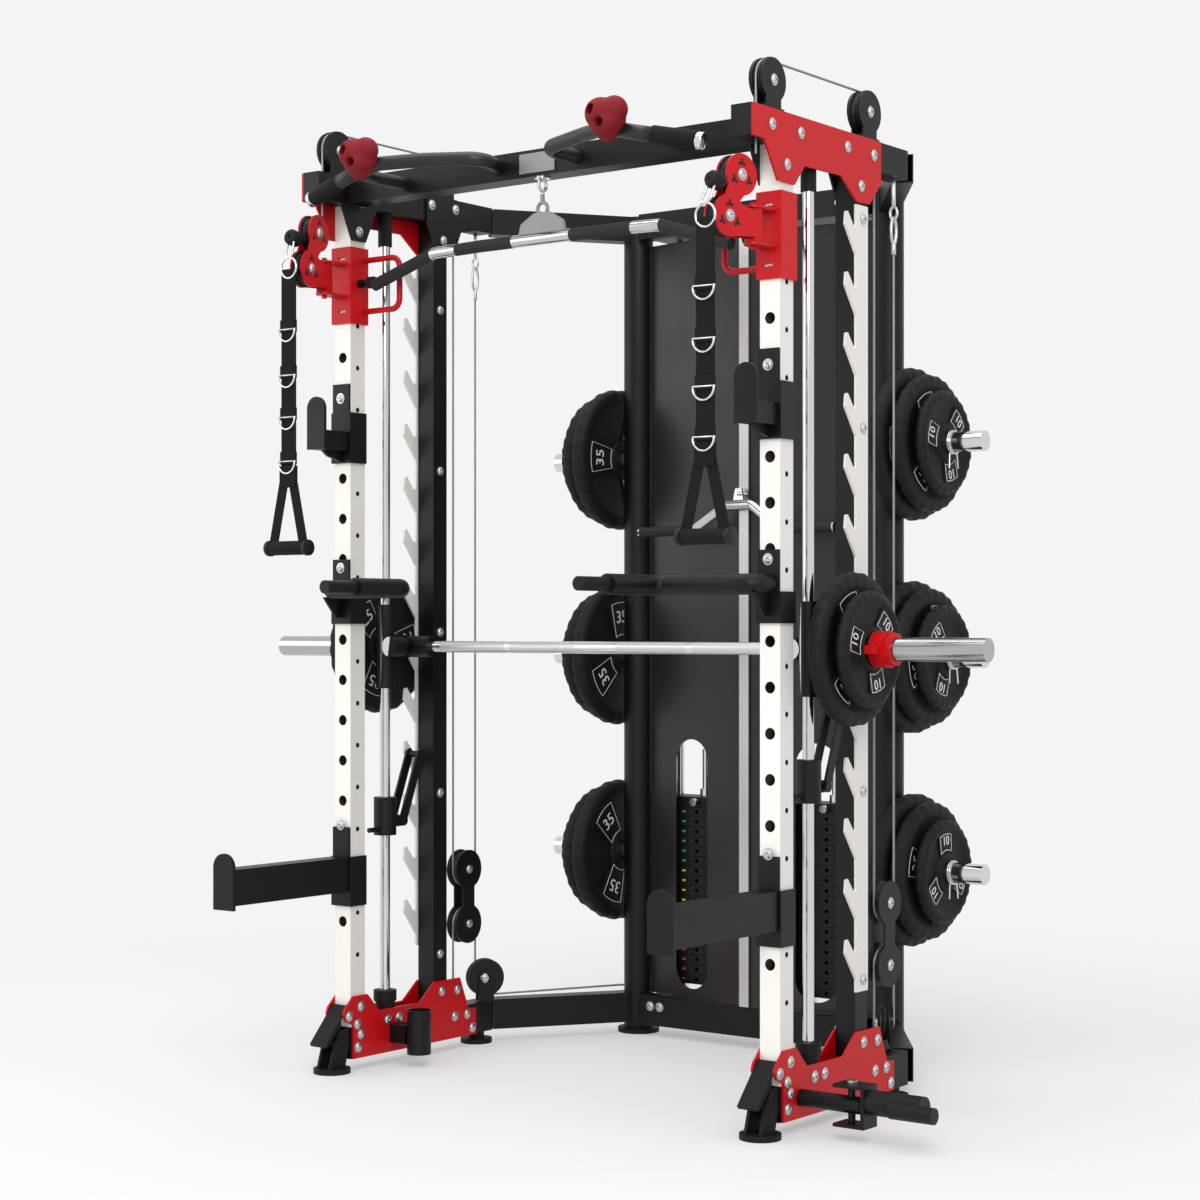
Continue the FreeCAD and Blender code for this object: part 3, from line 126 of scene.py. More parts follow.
floor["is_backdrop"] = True
for name, spot, size, power in (
    ("key", (3.2, -4.0, 3.6), 2.6, studio["key"]),
    ("fill", (-4.0, -3.2, 2.6), 3.0, studio["fill"]),
    ("top", (0.0, -0.6, 4.6), 3.4, studio["top"]),
):
    bpy.ops.object.light_add(type="AREA", location=spot)
    lamp = bpy.context.object
    lamp.name = name
    lamp.data.size = size
    lamp.data.energy = power
    lamp.rotation_euler = (Vector((0, 0, 1.1)) - Vector(spot)).to_track_quat("-Z", "Y").to_euler()
    lamp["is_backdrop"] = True
print("stage: camera and light")

# Materials. Noise is in Object coordinates, so its scales are in waves per metre.


def paint(name, tone, rough, metal=0.0, grain=400, relief=0.00004, spread=0.08, shade=0.06, shine=0.5):
    made = bpy.data.materials.new(name)
    made.use_nodes = True
    tree = made.node_tree
    surface = tree.nodes["Principled BSDF"]
    place = addNode(tree, "ShaderNodeTexCoord")
    spot = place.outputs["Object"]
    fine = addNode(tree, "ShaderNodeTexNoise", {"Vector": spot, "Scale": grain, "Detail": 3.0})
    wide = addNode(tree, "ShaderNodeTexNoise", {"Vector": spot, "Scale": 9.0, "Detail": 4.0})
    wear = addNode(tree, "ShaderNodeMapRange", {"Value": wide.outputs["Fac"],
                                                "To Min": max(rough - spread, 0.03),
                                                "To Max": min(rough + spread, 1)})
    dark = [c * (1 - shade) for c in linear(tone)[:3]] + [1]
    tint = addNode(tree, "ShaderNodeMix", {"Factor": wide.outputs["Fac"], "A": dark, "B": linear(tone)},
                   data_type="RGBA")
    for socket in tint.inputs:
        if socket.type == "RGBA":
            socket.default_value = dark if socket.name == "A" else linear(tone)
    bump = addNode(tree, "ShaderNodeBump", {"Height": fine.outputs["Fac"], "Distance": relief,
                                            "Strength": 1.0})
    tree.links.new([s for s in tint.outputs if s.type == "RGBA"][0], surface.inputs["Base Color"])
    tree.links.new(wear.outputs[0], surface.inputs["Roughness"])
    tree.links.new(bump.outputs[0], surface.inputs["Normal"])
    surface.inputs["Metallic"].default_value = metal
    surface.inputs["Specular IOR Level"].default_value = shine
    return made


blackCoat = paint("satin black powder coat", "08080A", 0.45, grain=700, relief=0.00006,
                  shine=0.28)  # sprayed and baked on steel
ivoryCoat = paint("ivory powder coat", "EDEAE4", 0.38, grain=700, relief=0.00005,
                  shade=0.03)  # sprayed and baked
redCoat = paint("red powder coat", "B8060F", 0.42, grain=700, relief=0.00005, shine=0.25)  # sprayed and baked
shroudCoat = paint("grey satin sheet", "2B2729", 0.36, metal=0.35, grain=500,
                   relief=0.00005)  # metallic paint on sheet
chrome = paint("chrome plate", "DADADC", 0.09, metal=1.0, grain=300, relief=0.000004,
               spread=0.03)  # polished, plated
zinc = paint("zinc plate", "C9CACC", 0.28, metal=1.0, grain=900, relief=0.00001)  # electroplated fasteners
alloy = paint("brushed aluminium", "D3D3D4", 0.3, metal=1.0, grain=1200, relief=0.00002)  # extruded strip
rubber = paint("black rubber", "070708", 0.66, grain=500, relief=0.00012,
               shine=0.3)  # moulded plates and feet
foam = paint("black foam grip", "0B0B0D", 0.8, grain=1600, relief=0.0002, shine=0.25)  # closed cell sleeve
nylon = paint("black nylon", "0D0D0F", 0.45, grain=900, relief=0.00003, shine=0.3)  # turned pulleys
iron = paint("black enamelled iron", "0B0B0D", 0.5, grain=350, relief=0.00012,
             shine=0.3)  # sand cast stack plates
resin = paint("crimson resin hold", "750E19", 0.7, grain=260, relief=0.0006,
              shine=0.25)  # cast with sand for grip
rope = paint("wire rope", "8E8F92", 0.4, metal=0.8, grain=1500,
             relief=0.0002)  # clear jacket over steel strands
ivoryPaintedShade = paint("ivory coat with painted shade", "D6D2CD", 0.42, grain=700, relief=0.00005,
                  shade=0.03)  # the same coat, darker, as painted shade on the faces turned to the side
holeWallBrown = paint("dark brown hole walls", "5A4A3E", 0.6, grain=700,
                 relief=0.00005)  # dark brown on the walls inside the holes
plateSteel = paint("satin plated steel", "8C8D90", 0.45, metal=0.7, grain=900,
                   relief=0.00002)  # badge and bracket
whitePrint = paint("white print", "D9D9D9", 0.6, grain=600, relief=0.00002)  # raised and painted
webbing = paint("woven nylon webbing", "0B0B0C", 0.85, grain=900, relief=0.0003,
                shine=0.25)  # flat woven strap

finishes = {
    "ivory": ivoryCoat, "black_frame": blackCoat, "red_paint": redCoat, "shroud_grey": shroudCoat,
    "bright_aluminium": alloy, "chrome": chrome, "zinc": zinc, "black_rubber": rubber, "black_iron": iron,
    "black_plastic": nylon, "red_resin": resin, "webbing": webbing,
}
for part in frame["record"]["subparts"]:
    mesh = nodes[part["node"]].data
    mesh.materials.clear()
    mesh.materials.append(finishes[part["material_slot"]])


def banded(name, reach, bands):  # finishes that change along X, each from a distance out from the middle
    made = paint(name, bands[0][1], bands[0][2])
    tree = made.node_tree
    surface = tree.nodes["Principled BSDF"]
    place = addNode(tree, "ShaderNodeTexCoord")
    split = addNode(tree, "ShaderNodeSeparateXYZ", {0: place.outputs["Object"]})
    away = addNode(tree, "ShaderNodeMath", {0: split.outputs["X"]}, operation="ABSOLUTE")
    share = addNode(tree, "ShaderNodeMath", {0: away.outputs[0], 1: reach}, operation="DIVIDE")
    for socket, pick in (("Base Color", 1), ("Roughness", 2), ("Metallic", 3)):
        ramp = addNode(tree, "ShaderNodeValToRGB", {"Fac": share.outputs[0]})
        ramp.color_ramp.interpolation = "CONSTANT"
        stops = ramp.color_ramp.elements
        for count, band in enumerate(bands):
            stop = stops[count] if count < 2 else stops.new(band[0] / reach)
            stop.position = band[0] / reach
            stop.color = linear(band[pick]) if pick == 1 else [band[pick]] * 3 + [1]
        tree.links.new(ramp.outputs["Color"], surface.inputs[socket])
    return made


def zones(node, *rules):  # later finishes for the faces that a rule picks by centre and normal
    mesh = nodes[node].data
    for finish, rule in rules:
        mesh.materials.append(finish)
        for face in mesh.polygons:
            if rule(face.center, face.normal):
                face.material_index = len(mesh.materials) - 1


front = sum(c.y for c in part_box("front_uprights")) / 2
postLine = sum(c.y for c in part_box("rear_posts")) / 2
barLine = sum(c.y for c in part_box("smith_bar")) / 2
barHigh = sum(c.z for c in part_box("smith_bar")) / 2
tubeHalf = 0.025
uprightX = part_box("front_uprights")[1].x - tubeHalf
edges = {"holeX": 0.0245, "holeY": 0.0249, "latWide": 0.075, "latHigh": 1.94, "carriageX": 0.595,
         "carriageHalf": 0.02, "carriageTall": 0.03, "badgeOut": 0.0401, "badgeWide": 0.051, "beamLow": 2.061,
         "minerX": 0.775, "minerHigh": 0.117, "minerLow": 0.027, "trolleyX": 0.572, "trolleyHigh": 1.876,
         "trolleyHalf": 0.0145, "headTop": 0.622, "headLow": 0.59,
         "headBack": 0.8595}  # where one finish of a CAD piece ends
barFinish = banded("knurled and plated bar", 1.1, [  # plated steel with a knurled grip and black sleeves
    (0.0, "DCDDDF", 0.2, 1.0), (0.06, "CFD0D2", 0.36, 1.0), (0.25, "DCDDDF", 0.2, 1.0),
    (0.27, "CFD0D2", 0.36, 1.0), (0.47, "C6C7C9", 0.12, 1.0), (0.652, "B4B5B7", 0.18, 1.0)])
latFinish = banded("lat bar finish", 0.6, [  # chromed tube with rubber grips
    (0.0, "C8C9CB", 0.1, 1.0), (0.080, "0E0E10", 0.7, 0.0), (0.249, "C8C9CB", 0.1, 1.0),
    (0.325, "0E0E10", 0.7, 0.0)])
rowFinish = banded("row bar finish", 0.4, [  # chromed tube with rubber grips
    (0.0, "C8C9CB", 0.1, 1.0), (0.140, "0E0E10", 0.7, 0.0), (0.286, "C8C9CB", 0.1, 1.0)])
gripFinish = banded("grip bar finish", 0.7, [  # black coated tube with foam grips and chromed end caps
    (0.0, "0D0D0E", 0.42, 0.0), (0.43, "0E0E10", 0.8, 0.0), (0.541, "C8C9CB", 0.1, 1.0)])
for node, finish in (("smith_bar", barFinish), ("lat_bar", latFinish), ("stored_row_bar", rowFinish),
                     ("pull_up_bars", gripFinish)):
    nodes[node].data.materials[0] = finish
# painted shade: the rack plates and the side faces of the uprights take a darker copy of the ivory coat
zones("rack_plates", (ivoryPaintedShade, lambda c, n: True))
# the walls inside the holes of the uprights are coloured dark brown
zones("front_uprights", (ivoryPaintedShade, lambda c, n: abs(n.x) > 0.9),
      (holeWallBrown, lambda c, n: abs(abs(c.x) - uprightX) < edges["holeX"]
       and abs(c.y - front) < edges["holeY"]))
zones("lat_bar", (plateSteel, lambda c, n: abs(c.x) < edges["latWide"] and c.z > edges["latHigh"]))
zones("smith_carriages", (chrome, lambda c, n: n.y < -0.9 and abs(c.z - barHigh) < edges["carriageTall"]
                          and abs(abs(c.x) - edges["carriageX"]) < edges["carriageHalf"]))
zones("pull_up_beam", (plateSteel, lambda c, n: c.y < front - edges["badgeOut"]
                       and abs(c.x) < edges["badgeWide"]),
      (chrome, lambda c, n: c.z < edges["beamLow"]))
zones("landmine", (zinc, lambda c, n: c.x < edges["minerX"]
                   and (c.z > edges["minerHigh"] or c.z < edges["minerLow"])))
for side, sign in sides:
    zones("trolley_" + side, (blackCoat, lambda c, n: abs(c.x) < edges["trolleyX"]
                                and abs(c.z - edges["trolleyHigh"]) < edges["trolleyHalf"]))
    zones("stack_head_" + side, (chrome, lambda c, n: c.z > edges["headTop"] or c.z < edges["headLow"]
                                   or c.y < front + edges["headBack"]))
print("stage: materials")

# Modelling helpers


def bevelled(made, width):  # square edges only: the facets of a round face stay
    edge = made.modifiers.new("edge", "BEVEL")
    edge.width = width
    edge.segments = 2
    edge.limit_method = "ANGLE"
    bpy.ops.object.modifier_apply(modifier="edge")


def active(name, *materials):
    made = bpy.context.object
    made.name = name
    made.data.materials.clear()
    for material in materials:
        made.data.materials.append(material)
    return made


def settle(made, turn=None, place=(0, 0, 0)):
    made.data.transform(Matrix.Translation(place) @ (turn or Matrix()) @ made.matrix_basis)
    made.matrix_basis = Matrix()
    return made


def smooth(made, limit=35):
    bpy.ops.object.select_all(action="DESELECT")
    made.select_set(True)
    bpy.context.view_layer.objects.active = made
    bpy.ops.object.shade_smooth_by_angle(angle=math.radians(limit))
    return made


def join(name, *pieces):
    bpy.ops.object.select_all(action="DESELECT")
    for piece in pieces:
        piece.select_set(True)
    bpy.context.view_layer.objects.active = pieces[0]
    if len(pieces) > 1:
        bpy.ops.object.join()
    pieces[0].name = name
    return pieces[0]


def copied(made, name, change):
    new = made.copy()
    new.data = made.data.copy()
    new.name = name
    scene.collection.objects.link(new)
    new.data.transform(change)
    if change.determinant() < 0:
        new.data.flip_normals()
    return new


def turned(name, profile, material, segments=48):  # closed (radius, height) outline
    bpy.ops.mesh.primitive_circle_add(vertices=segments, radius=profile[0][0], location=(0, 0, 0))
    made = active(name, material)
    made.data.transform(Matrix.Translation((0, 0, profile[0][1])))
    bpy.ops.object.mode_set(mode="EDIT")
    bpy.ops.mesh.select_all(action="SELECT")
    for (inner, low), (outer, high) in zip(profile, profile[1:] + profile[:1]):
        bpy.ops.mesh.extrude_edges_move(TRANSFORM_OT_translate={"value": (0, 0, high - low)})
        bpy.ops.transform.resize(value=(outer / inner, outer / inner, 1), center_override=(0, 0, high))
    bpy.ops.mesh.select_all(action="SELECT")
    bpy.ops.mesh.remove_doubles(threshold=0.00002)
    bpy.ops.mesh.normals_make_consistent(inside=False)
    bpy.ops.object.mode_set(mode="OBJECT")
    return made


def block(name, size, place, material, bevel=0.001):
    bpy.ops.mesh.primitive_cube_add(size=1, location=place)
    made = active(name, material)
    made.scale = size
    bpy.ops.object.transform_apply(location=True, rotation=True, scale=True)
    if bevel:
        bevelled(made, bevel)
    return made


def cylinder(name, radius, length, place, axis, material, segments=32, bevel=0.0008):
    bpy.ops.mesh.primitive_cylinder_add(radius=radius, depth=length, vertices=segments, location=(0, 0, 0))
    made = active(name, material)
    bevelled(made, bevel)
    return smooth(settle(made, aim(axis), place))


def fullTurn(steps):  # angles all the way round
    return [math.tau * i / steps for i in range(steps)]


def aim(axis):
    return Vector(axis).to_track_quat("Z", "Y").to_matrix().to_4x4()


def wireForm(name, points, radius, material, cyclic=False, detail=4):  # a round rod through the points
    shape = bpy.data.curves.new(name, "CURVE")
    shape.dimensions = "3D"
    shape.bevel_depth = radius
    shape.bevel_resolution = detail
    shape.use_fill_caps = not cyclic
    run = shape.splines.new("POLY")
    run.points.add(len(points) - 1)
    for spot, point in zip(run.points, points):
        spot.co = (*point, 1)
    run.use_cyclic_u = cyclic
    made = bpy.data.objects.new(name, shape)
    scene.collection.objects.link(made)
    bpy.ops.object.select_all(action="DESELECT")
    made.select_set(True)
    bpy.context.view_layer.objects.active = made
    bpy.ops.object.convert(target="MESH")
    made = active(name, material)
    return smooth(made, 60)


def rounded(points, bend, steps=8):  # each inner corner becomes an arc
    corners = [Vector(p) for p in points]
    path = [corners[0]]
    for before, corner, after in zip(corners, corners[1:], corners[2:]):
        back, ahead = (before - corner).normalized(), (after - corner).normalized()
        half = back.angle(ahead) / 2
        reach = min(bend / math.tan(half), (before - corner).length * 0.5, (after - corner).length * 0.5)
        radius = reach * math.tan(half)
        centre = corner + (back + ahead).normalized() * radius / math.sin(half)
        first, last = corner + back * reach - centre, corner + ahead * reach - centre
        sweep = first.angle(last)
        for step in range(steps + 1):
            share = step / steps
            spot = first * math.sin((1 - share) * sweep) + last * math.sin(share * sweep)
            path.append(centre + spot / math.sin(sweep))
    return path + [corners[-1]]


def loose(node):  # the lowest and highest corner of each separate solid of a CAD node
    bpy.ops.object.select_all(action="DESELECT")
    copy = nodes[node].copy()
    copy.data = nodes[node].data.copy()
    copy.parent = None
    scene.collection.objects.link(copy)
    copy.select_set(True)
    bpy.context.view_layer.objects.active = copy
    bpy.ops.object.mode_set(mode="EDIT")
    bpy.ops.mesh.select_all(action="SELECT")
    bpy.ops.mesh.remove_doubles(threshold=0.00002)
    bpy.ops.mesh.separate(type="LOOSE")
    bpy.ops.object.mode_set(mode="OBJECT")
    found = []
    for piece in list(bpy.context.selected_objects):
        spots = [v.co for v in piece.data.vertices]
        found.append((Vector([min(s[i] for s in spots) for i in range(3)]),
                      Vector([max(s[i] for s in spots) for i in range(3)])))
        bpy.data.objects.remove(piece)
    return found


def prism(name, outline, thick, material, bevel=0.0):  # a flat plate on XY with the outline's corners
    bpy.ops.mesh.primitive_circle_add(vertices=len(outline), radius=1, fill_type="NGON", location=(0, 0, 0))
    made = active(name, material)
    for vertex, (x, y) in zip(made.data.vertices, outline):
        vertex.co = (x, y, 0)
    bpy.ops.object.mode_set(mode="EDIT")
    bpy.ops.mesh.select_all(action="SELECT")
    bpy.ops.mesh.extrude_region_move(TRANSFORM_OT_translate={"value": (0, 0, thick)})
    bpy.ops.mesh.select_all(action="SELECT")
    bpy.ops.mesh.normals_make_consistent(inside=False)
    bpy.ops.object.mode_set(mode="OBJECT")
    if bevel:
        bevelled(made, bevel)
    return made


def sector(inner, outer, spreadIn, spreadOut, steps=6):  # the outline of a ring's slice, about +Y
    turns = [2 * i / steps - 1 for i in range(steps + 1)]
    outside = [(outer * math.sin(t * spreadOut), outer * math.cos(t * spreadOut)) for t in turns]
    return outside + [(inner * math.sin(-t * spreadIn), inner * math.cos(t * spreadIn)) for t in turns]


print("stage: helpers")

# Domed bolts with washers and hexagon sockets, one on every bolt of the frame
boltSizes = {"washer": 0.0125, "head": 0.0098, "dome": 0.0058, "socket": 0.0036,
             "clamps": (1.602, 1.198, 0.586), "clampOut": 0.032}
head, dome, socket = boltSizes["head"], boltSizes["dome"], boltSizes["socket"]
boltSeed = smooth(turned("boltSeed", [
    (0.004, 0.0), (boltSizes["washer"], 0.0), (boltSizes["washer"], 0.0014), (head, 0.0016),
    (head * 0.97, 0.0032), (head * 0.8, dome * 0.86), (head * 0.55, dome), (socket, dome),
    (socket * 0.96, 0.0024), (0.0004, 0.0022),
    (0.0004, 0.0)], zinc, 24), 40)
bolts = []
for low, high in loose("frame_bolts"):
    size = high - low
    centre = (low + high) / 2
    across = min(range(3), key=lambda i: size[i])
    outward = Vector((0, 0, 0))
    outward[across] = 1
    if across == 0 and (abs(centre.x) < uprightX) == (centre.x > 0):
        outward = -outward
    if across == 1:
        outward = -outward
    base = centre - outward * size[across] / 2
    bolts.append(copied(boltSeed, "bolt", Matrix.Translation(base) @ aim(outward)))
for side, sign in sides:
    for high in boltSizes["clamps"]:  # on the J-hook, dip handle and spotter arm
        spot = (sign * uprightX, front - boltSizes["clampOut"], high)
        bolts.append(copied(boltSeed, "bolt", Matrix.Translation(spot) @ aim((0, -1, 0))))
boltSet = join("frameBolts", *bolts)
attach(boltSet, "frame")
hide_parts("frame_bolts")

# Bolts through the pulleys, with T-shaped lightening slots round those of the swivels
axleSizes = {"out": 0.0162, "slotOut": 0.0158, "swivelTurn": 12, "lowTurn": 59.8, "blockEnd": 0.049,
             "slotCount": 3, "slotHigh": 0.0004,
             "slots": ((0.0200, 0.0255, 0.46, 6), (0.0254, 0.0330, 0.11, 2))}
axleBolts = {}
for node, box in ((n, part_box(n)) for n in nodes if "pulley_" in n and n != "pulley_brackets"):
    sign = 1 if node.endswith("right") else -1
    body = "swivel_" + ("right" if sign > 0 else "left") if "swivel" in node else "frame"
    centre = (box[0] + box[1]) / 2
    turn = -axleSizes["swivelTurn"] if "swivel" in node else 0
    if node.startswith("low"):
        turn = axleSizes["lowTurn"]
    along = Vector((math.cos(math.radians(turn)), sign * math.sin(math.radians(turn)), 0))
    for way in (1, -1):
        spot = centre + along * way * axleSizes["out"]
        bolt = copied(boltSeed, "bolt", Matrix.Translation(spot) @ aim(along * way))
        axleBolts.setdefault(body, []).append(bolt)
        if "swivel" not in node:
            continue
        face = Matrix.Translation(centre + along * way * axleSizes["slotOut"]) @ aim(along * way)
        for count in range(axleSizes["slotCount"]):
            spin = face @ Matrix.Rotation(math.tau * count / axleSizes["slotCount"], 4, "Z")
            for inner, outer, spread, steps in axleSizes["slots"]:
                outline = sector(inner, outer, spread, spread, steps)
                slotMark = prism("slotMark", outline, axleSizes["slotHigh"], nylon)
                axleBolts[body].append(settle(slotMark, spin))
for side, sign in sides:
    low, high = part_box("float_block_" + side)
    for end in (low.z + axleSizes["blockEnd"], high.z - axleSizes["blockEnd"]):
        for way in (1, -1):
            spot = Vector(((low.x + high.x) / 2 + way * axleSizes["out"], (low.y + high.y) / 2, end))
            axleBolts.setdefault("float_block_" + side, []).append(
                copied(boltSeed, "bolt", Matrix.Translation(spot) @ aim((way, 0, 0))))
bpy.data.objects.remove(boltSeed)
for body, group in axleBolts.items():
    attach(join("axleBolts." + body, *group), body)
print("stage: bolts")

# Weight plates: rubber coated, ribbed rim, recessed face with a raised border and plain numbers
plateSizes = {"kinds": {"large": (0.184, 0.044, "35"), "medium": (0.165, 0.040, "25"),
                        "small": (0.126, 0.032, "10")}, "bore": 0.0254, "rim": 0.80, "ribs": 27,
              "ribDeep": 0.0030, "ribFlat": 0.07, "spokes": 3, "turn": 0.4, "stagger": 0.9}


def weightPlate(kind):
    radius, thick, number = plateSizes["kinds"][kind]
    bore, ribs, ribDeep = (plateSizes[k] for k in ("bore", "ribs", "ribDeep"))
    half = thick / 2
    rim = radius * plateSizes["rim"]
    nearSide = [(bore + 0.024, half - 0.009), (bore + 0.020, half - 0.002), (bore + 0.008, half),
                (bore, half - 0.002)]
    nearRim = [(radius, half - 0.014), (radius - 0.002, half - 0.008), (radius - 0.010, half - 0.002),
               (rim + 0.008, half - 0.0005), (rim, half - 0.003), (rim - 0.008, half - 0.009)]
    upper = nearRim + nearSide
    lower = [(away, -high) for away, high in reversed(upper)]
    made = turned(kind + "Plate", lower + upper, rubber, 108)
    made.data.materials.append(chrome)
    for vertex in made.data.vertices:
        away = math.hypot(vertex.co.x, vertex.co.y)
        if away > rim + 0.004:  # shallow finger ribs round the rim
            dip = 0.5 - 0.5 * math.cos(ribs * math.atan2(vertex.co.y, vertex.co.x))
            vertex.co.x *= 1 - ribDeep * dip / radius
            vertex.co.y *= 1 - ribDeep * dip / radius
            vertex.co.z *= 1 - plateSizes["ribFlat"] * dip
    for face in made.data.polygons:
        if math.hypot(face.center.x, face.center.y) < bore + 0.001:
            face.material_index = 1
    extras = [smooth(made, 50)]
    for face in (1, -1):
        flip = Matrix.Rotation(0 if face == 1 else math.pi, 4, "Y")
        for count in range(plateSizes["spokes"]):
            spokeTurn = math.tau * count / plateSizes["spokes"] + plateSizes["turn"]
            spin = flip @ Matrix.Rotation(spokeTurn, 4, "Z")
            outline = sector(bore + 0.023, rim - 0.004, 0.62, 0.36)
            spoke = prism("spoke", outline, 0.0040, rubber, 0.0008)
            extras.append(settle(spoke, spin, (0, 0, face * (half - 0.0092))))
            outline = [(x, y, 0) for x, y in sector(bore + 0.028, rim - 0.009, 0.48, 0.29)]
            border = wireForm("border", outline, 0.0009, whitePrint, cyclic=True, detail=0)
            extras.append(settle(border, spin, (0, 0, face * (half - 0.0052))))
            bpy.ops.object.text_add()
            letters = bpy.context.object.data
            letters.body = number
            letters.size = radius * 0.25
            letters.extrude = 0.0005
            letters.resolution_u = 3
            letters.align_x = "CENTER"
            letters.align_y = "CENTER"
            bpy.ops.object.convert(target="MESH")
            label = settle(active("number", whitePrint), place=(0, (rim + bore + 0.024) / 2, 0))
            extras.append(settle(label, spin, (0, 0, face * (half - 0.0050))))
    return join(kind + "Plate", *extras)


kinds = plateSizes["kinds"]
seeds = {kind: weightPlate(kind) for kind in kinds}
stored, loaded = [], []
for node, group, keep in (("stored_plates", "storedPlate", stored), ("bar_plates", "barPlate", loaded)):
    for low, high in loose(node):
        centre = (low + high) / 2
        wide = high.z - low.z
        kind = min(kinds, key=lambda k: abs(kinds[k][0] * 2 - wide))
        spin = Matrix.Rotation(len(keep) * plateSizes["stagger"], 4, "Z")
        face = aim((1, 0, 0)) if centre.x > 0 else aim((-1, 0, 0))
        keep.append(copied(seeds[kind], group, Matrix.Translation(centre) @ face @ spin))
for seed in seeds.values():
    bpy.data.objects.remove(seed)
storedSet = join("storedPlates", *stored)
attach(storedSet, "frame")
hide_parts("stored_plates")
loadedSet = join("barPlates", *loaded)
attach(loadedSet, "barbell")
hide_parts("bar_plates")
print("stage: weight plates")

# Nylon straps with D rings and a stirrup grip
strapSizes = {"x": 0.585, "out": 0.229, "wide": 0.046, "thick": 0.003, "top": 1.885, "low": 1.418,
              "rings": (1.759, 1.653, 1.556, 1.454), "ring": 0.026, "ringWire": 0.0022, "topRing": 0.024,
              "snapX": 0.593, "snapOut": 0.205, "legLean": 0.225, "grip": 1.240}
for side, sign in sides:
    x, y = strapSizes["x"] * sign, front - strapSizes["out"]
    wide, thick, ring, grip = (strapSizes[k] for k in ("wide", "thick", "ring", "grip"))
    band = block("band", (wide, thick, strapSizes["top"] - strapSizes["low"]),
                 (x, y, (strapSizes["top"] + strapSizes["low"]) / 2), webbing, 0.0008)
    webs, metal, grips = [band], [], []
    for height in strapSizes["rings"]:
        foldSize = (wide + 0.002, thick + 0.006, 0.030)
        webs.append(block("fold", foldSize, (x, y - 0.001, height - 0.006), webbing, 0.002))
        bend = [(x - ring, y - 0.006, height - 0.014), (x + ring, y - 0.006, height - 0.014)]
        for step in range(13):
            angle = math.pi * step / 12
            bend.append((x + ring * math.cos(angle), y - 0.008, height - 0.016 - ring * math.sin(angle)))
        metal.append(wireForm("ring", bend, strapSizes["ringWire"], chrome, cyclic=True))
    around, high = strapSizes["topRing"], strapSizes["top"] + 0.003
    loop = [(x + around * math.cos(a), y, high + around * math.sin(a)) for a in fullTurn(32)]
    metal.append(wireForm("topRing", loop, 0.0026, chrome, cyclic=True))
    snapX, snapY = strapSizes["snapX"] * sign, front - strapSizes["snapOut"]
    snap = [(snapX, snapY, 1.972), (snapX - 0.008, snapY - 0.006, 1.965), (x - 0.010, y, 1.918),
            (x, y, 1.909), (x + 0.012, y, 1.920), (snapX + 0.008, snapY - 0.006, 1.965)]
    metal.append(wireForm("snap", rounded(snap + snap[:1], 0.006, 4), 0.0028, chrome))
    for lean in (-1, 1):
        leg = block("leg", (0.026, thick + 0.001, 0.196), (0, 0, 0), webbing, 0.0008)
        tilt = Matrix.Rotation(-lean * strapSizes["legLean"], 4, "Y")
        leg.data.transform(Matrix.Translation((x + lean * 0.029, y - 0.001, 1.330)) @ tilt)
        webs.append(leg)
        grips.append(cylinder("cap", 0.0185, 0.010, (x + lean * 0.060, y, grip), (1, 0, 0), nylon))
    webs.append(block("patch", (wide + 0.004, thick + 0.008, 0.050), (x, y - 0.001, 1.405), webbing, 0.002))
    grips.append(cylinder("grip", 0.0165, 0.112, (x, y, grip), (1, 0, 0), foam))
    ball = turned("ball", [(0.003, -0.019), (0.014, -0.018), (0.0185, -0.010), (0.0185, 0.012),
                           (0.013, 0.019), (0.003, 0.019)], rubber, 32)
    grips.append(smooth(settle(ball, aim((0.2 * -sign, -1, 0.15)), (snapX, snapY, 1.960)), 50))
    strap = join("strap" + side.capitalize(), *webs, *metal, *grips)
    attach(strap, "strap_" + side)
    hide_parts("strap_" + side)
print("stage: straps")

# Wire ropes: straight runs stretch between the frame and the moving blocks
ropeSizes = {"radius": 0.0026, "rows": 12, "x": 0.6135, "lift": 0.043, "start": 2.03, "wheelEnd": 0.0475,
             "ferrule": 1.908, "anchor": 0.106}
radius, lift = ropeSizes["radius"], ropeSizes["lift"]


def ropeArc(x, y, z, start, end, steps=16):  # round a pulley, in degrees from +Y
    turns = [math.radians(start + (end - start) * i / steps) for i in range(steps + 1)]
    return [(x, y + lift * math.cos(a), z + lift * math.sin(a)) for a in turns]


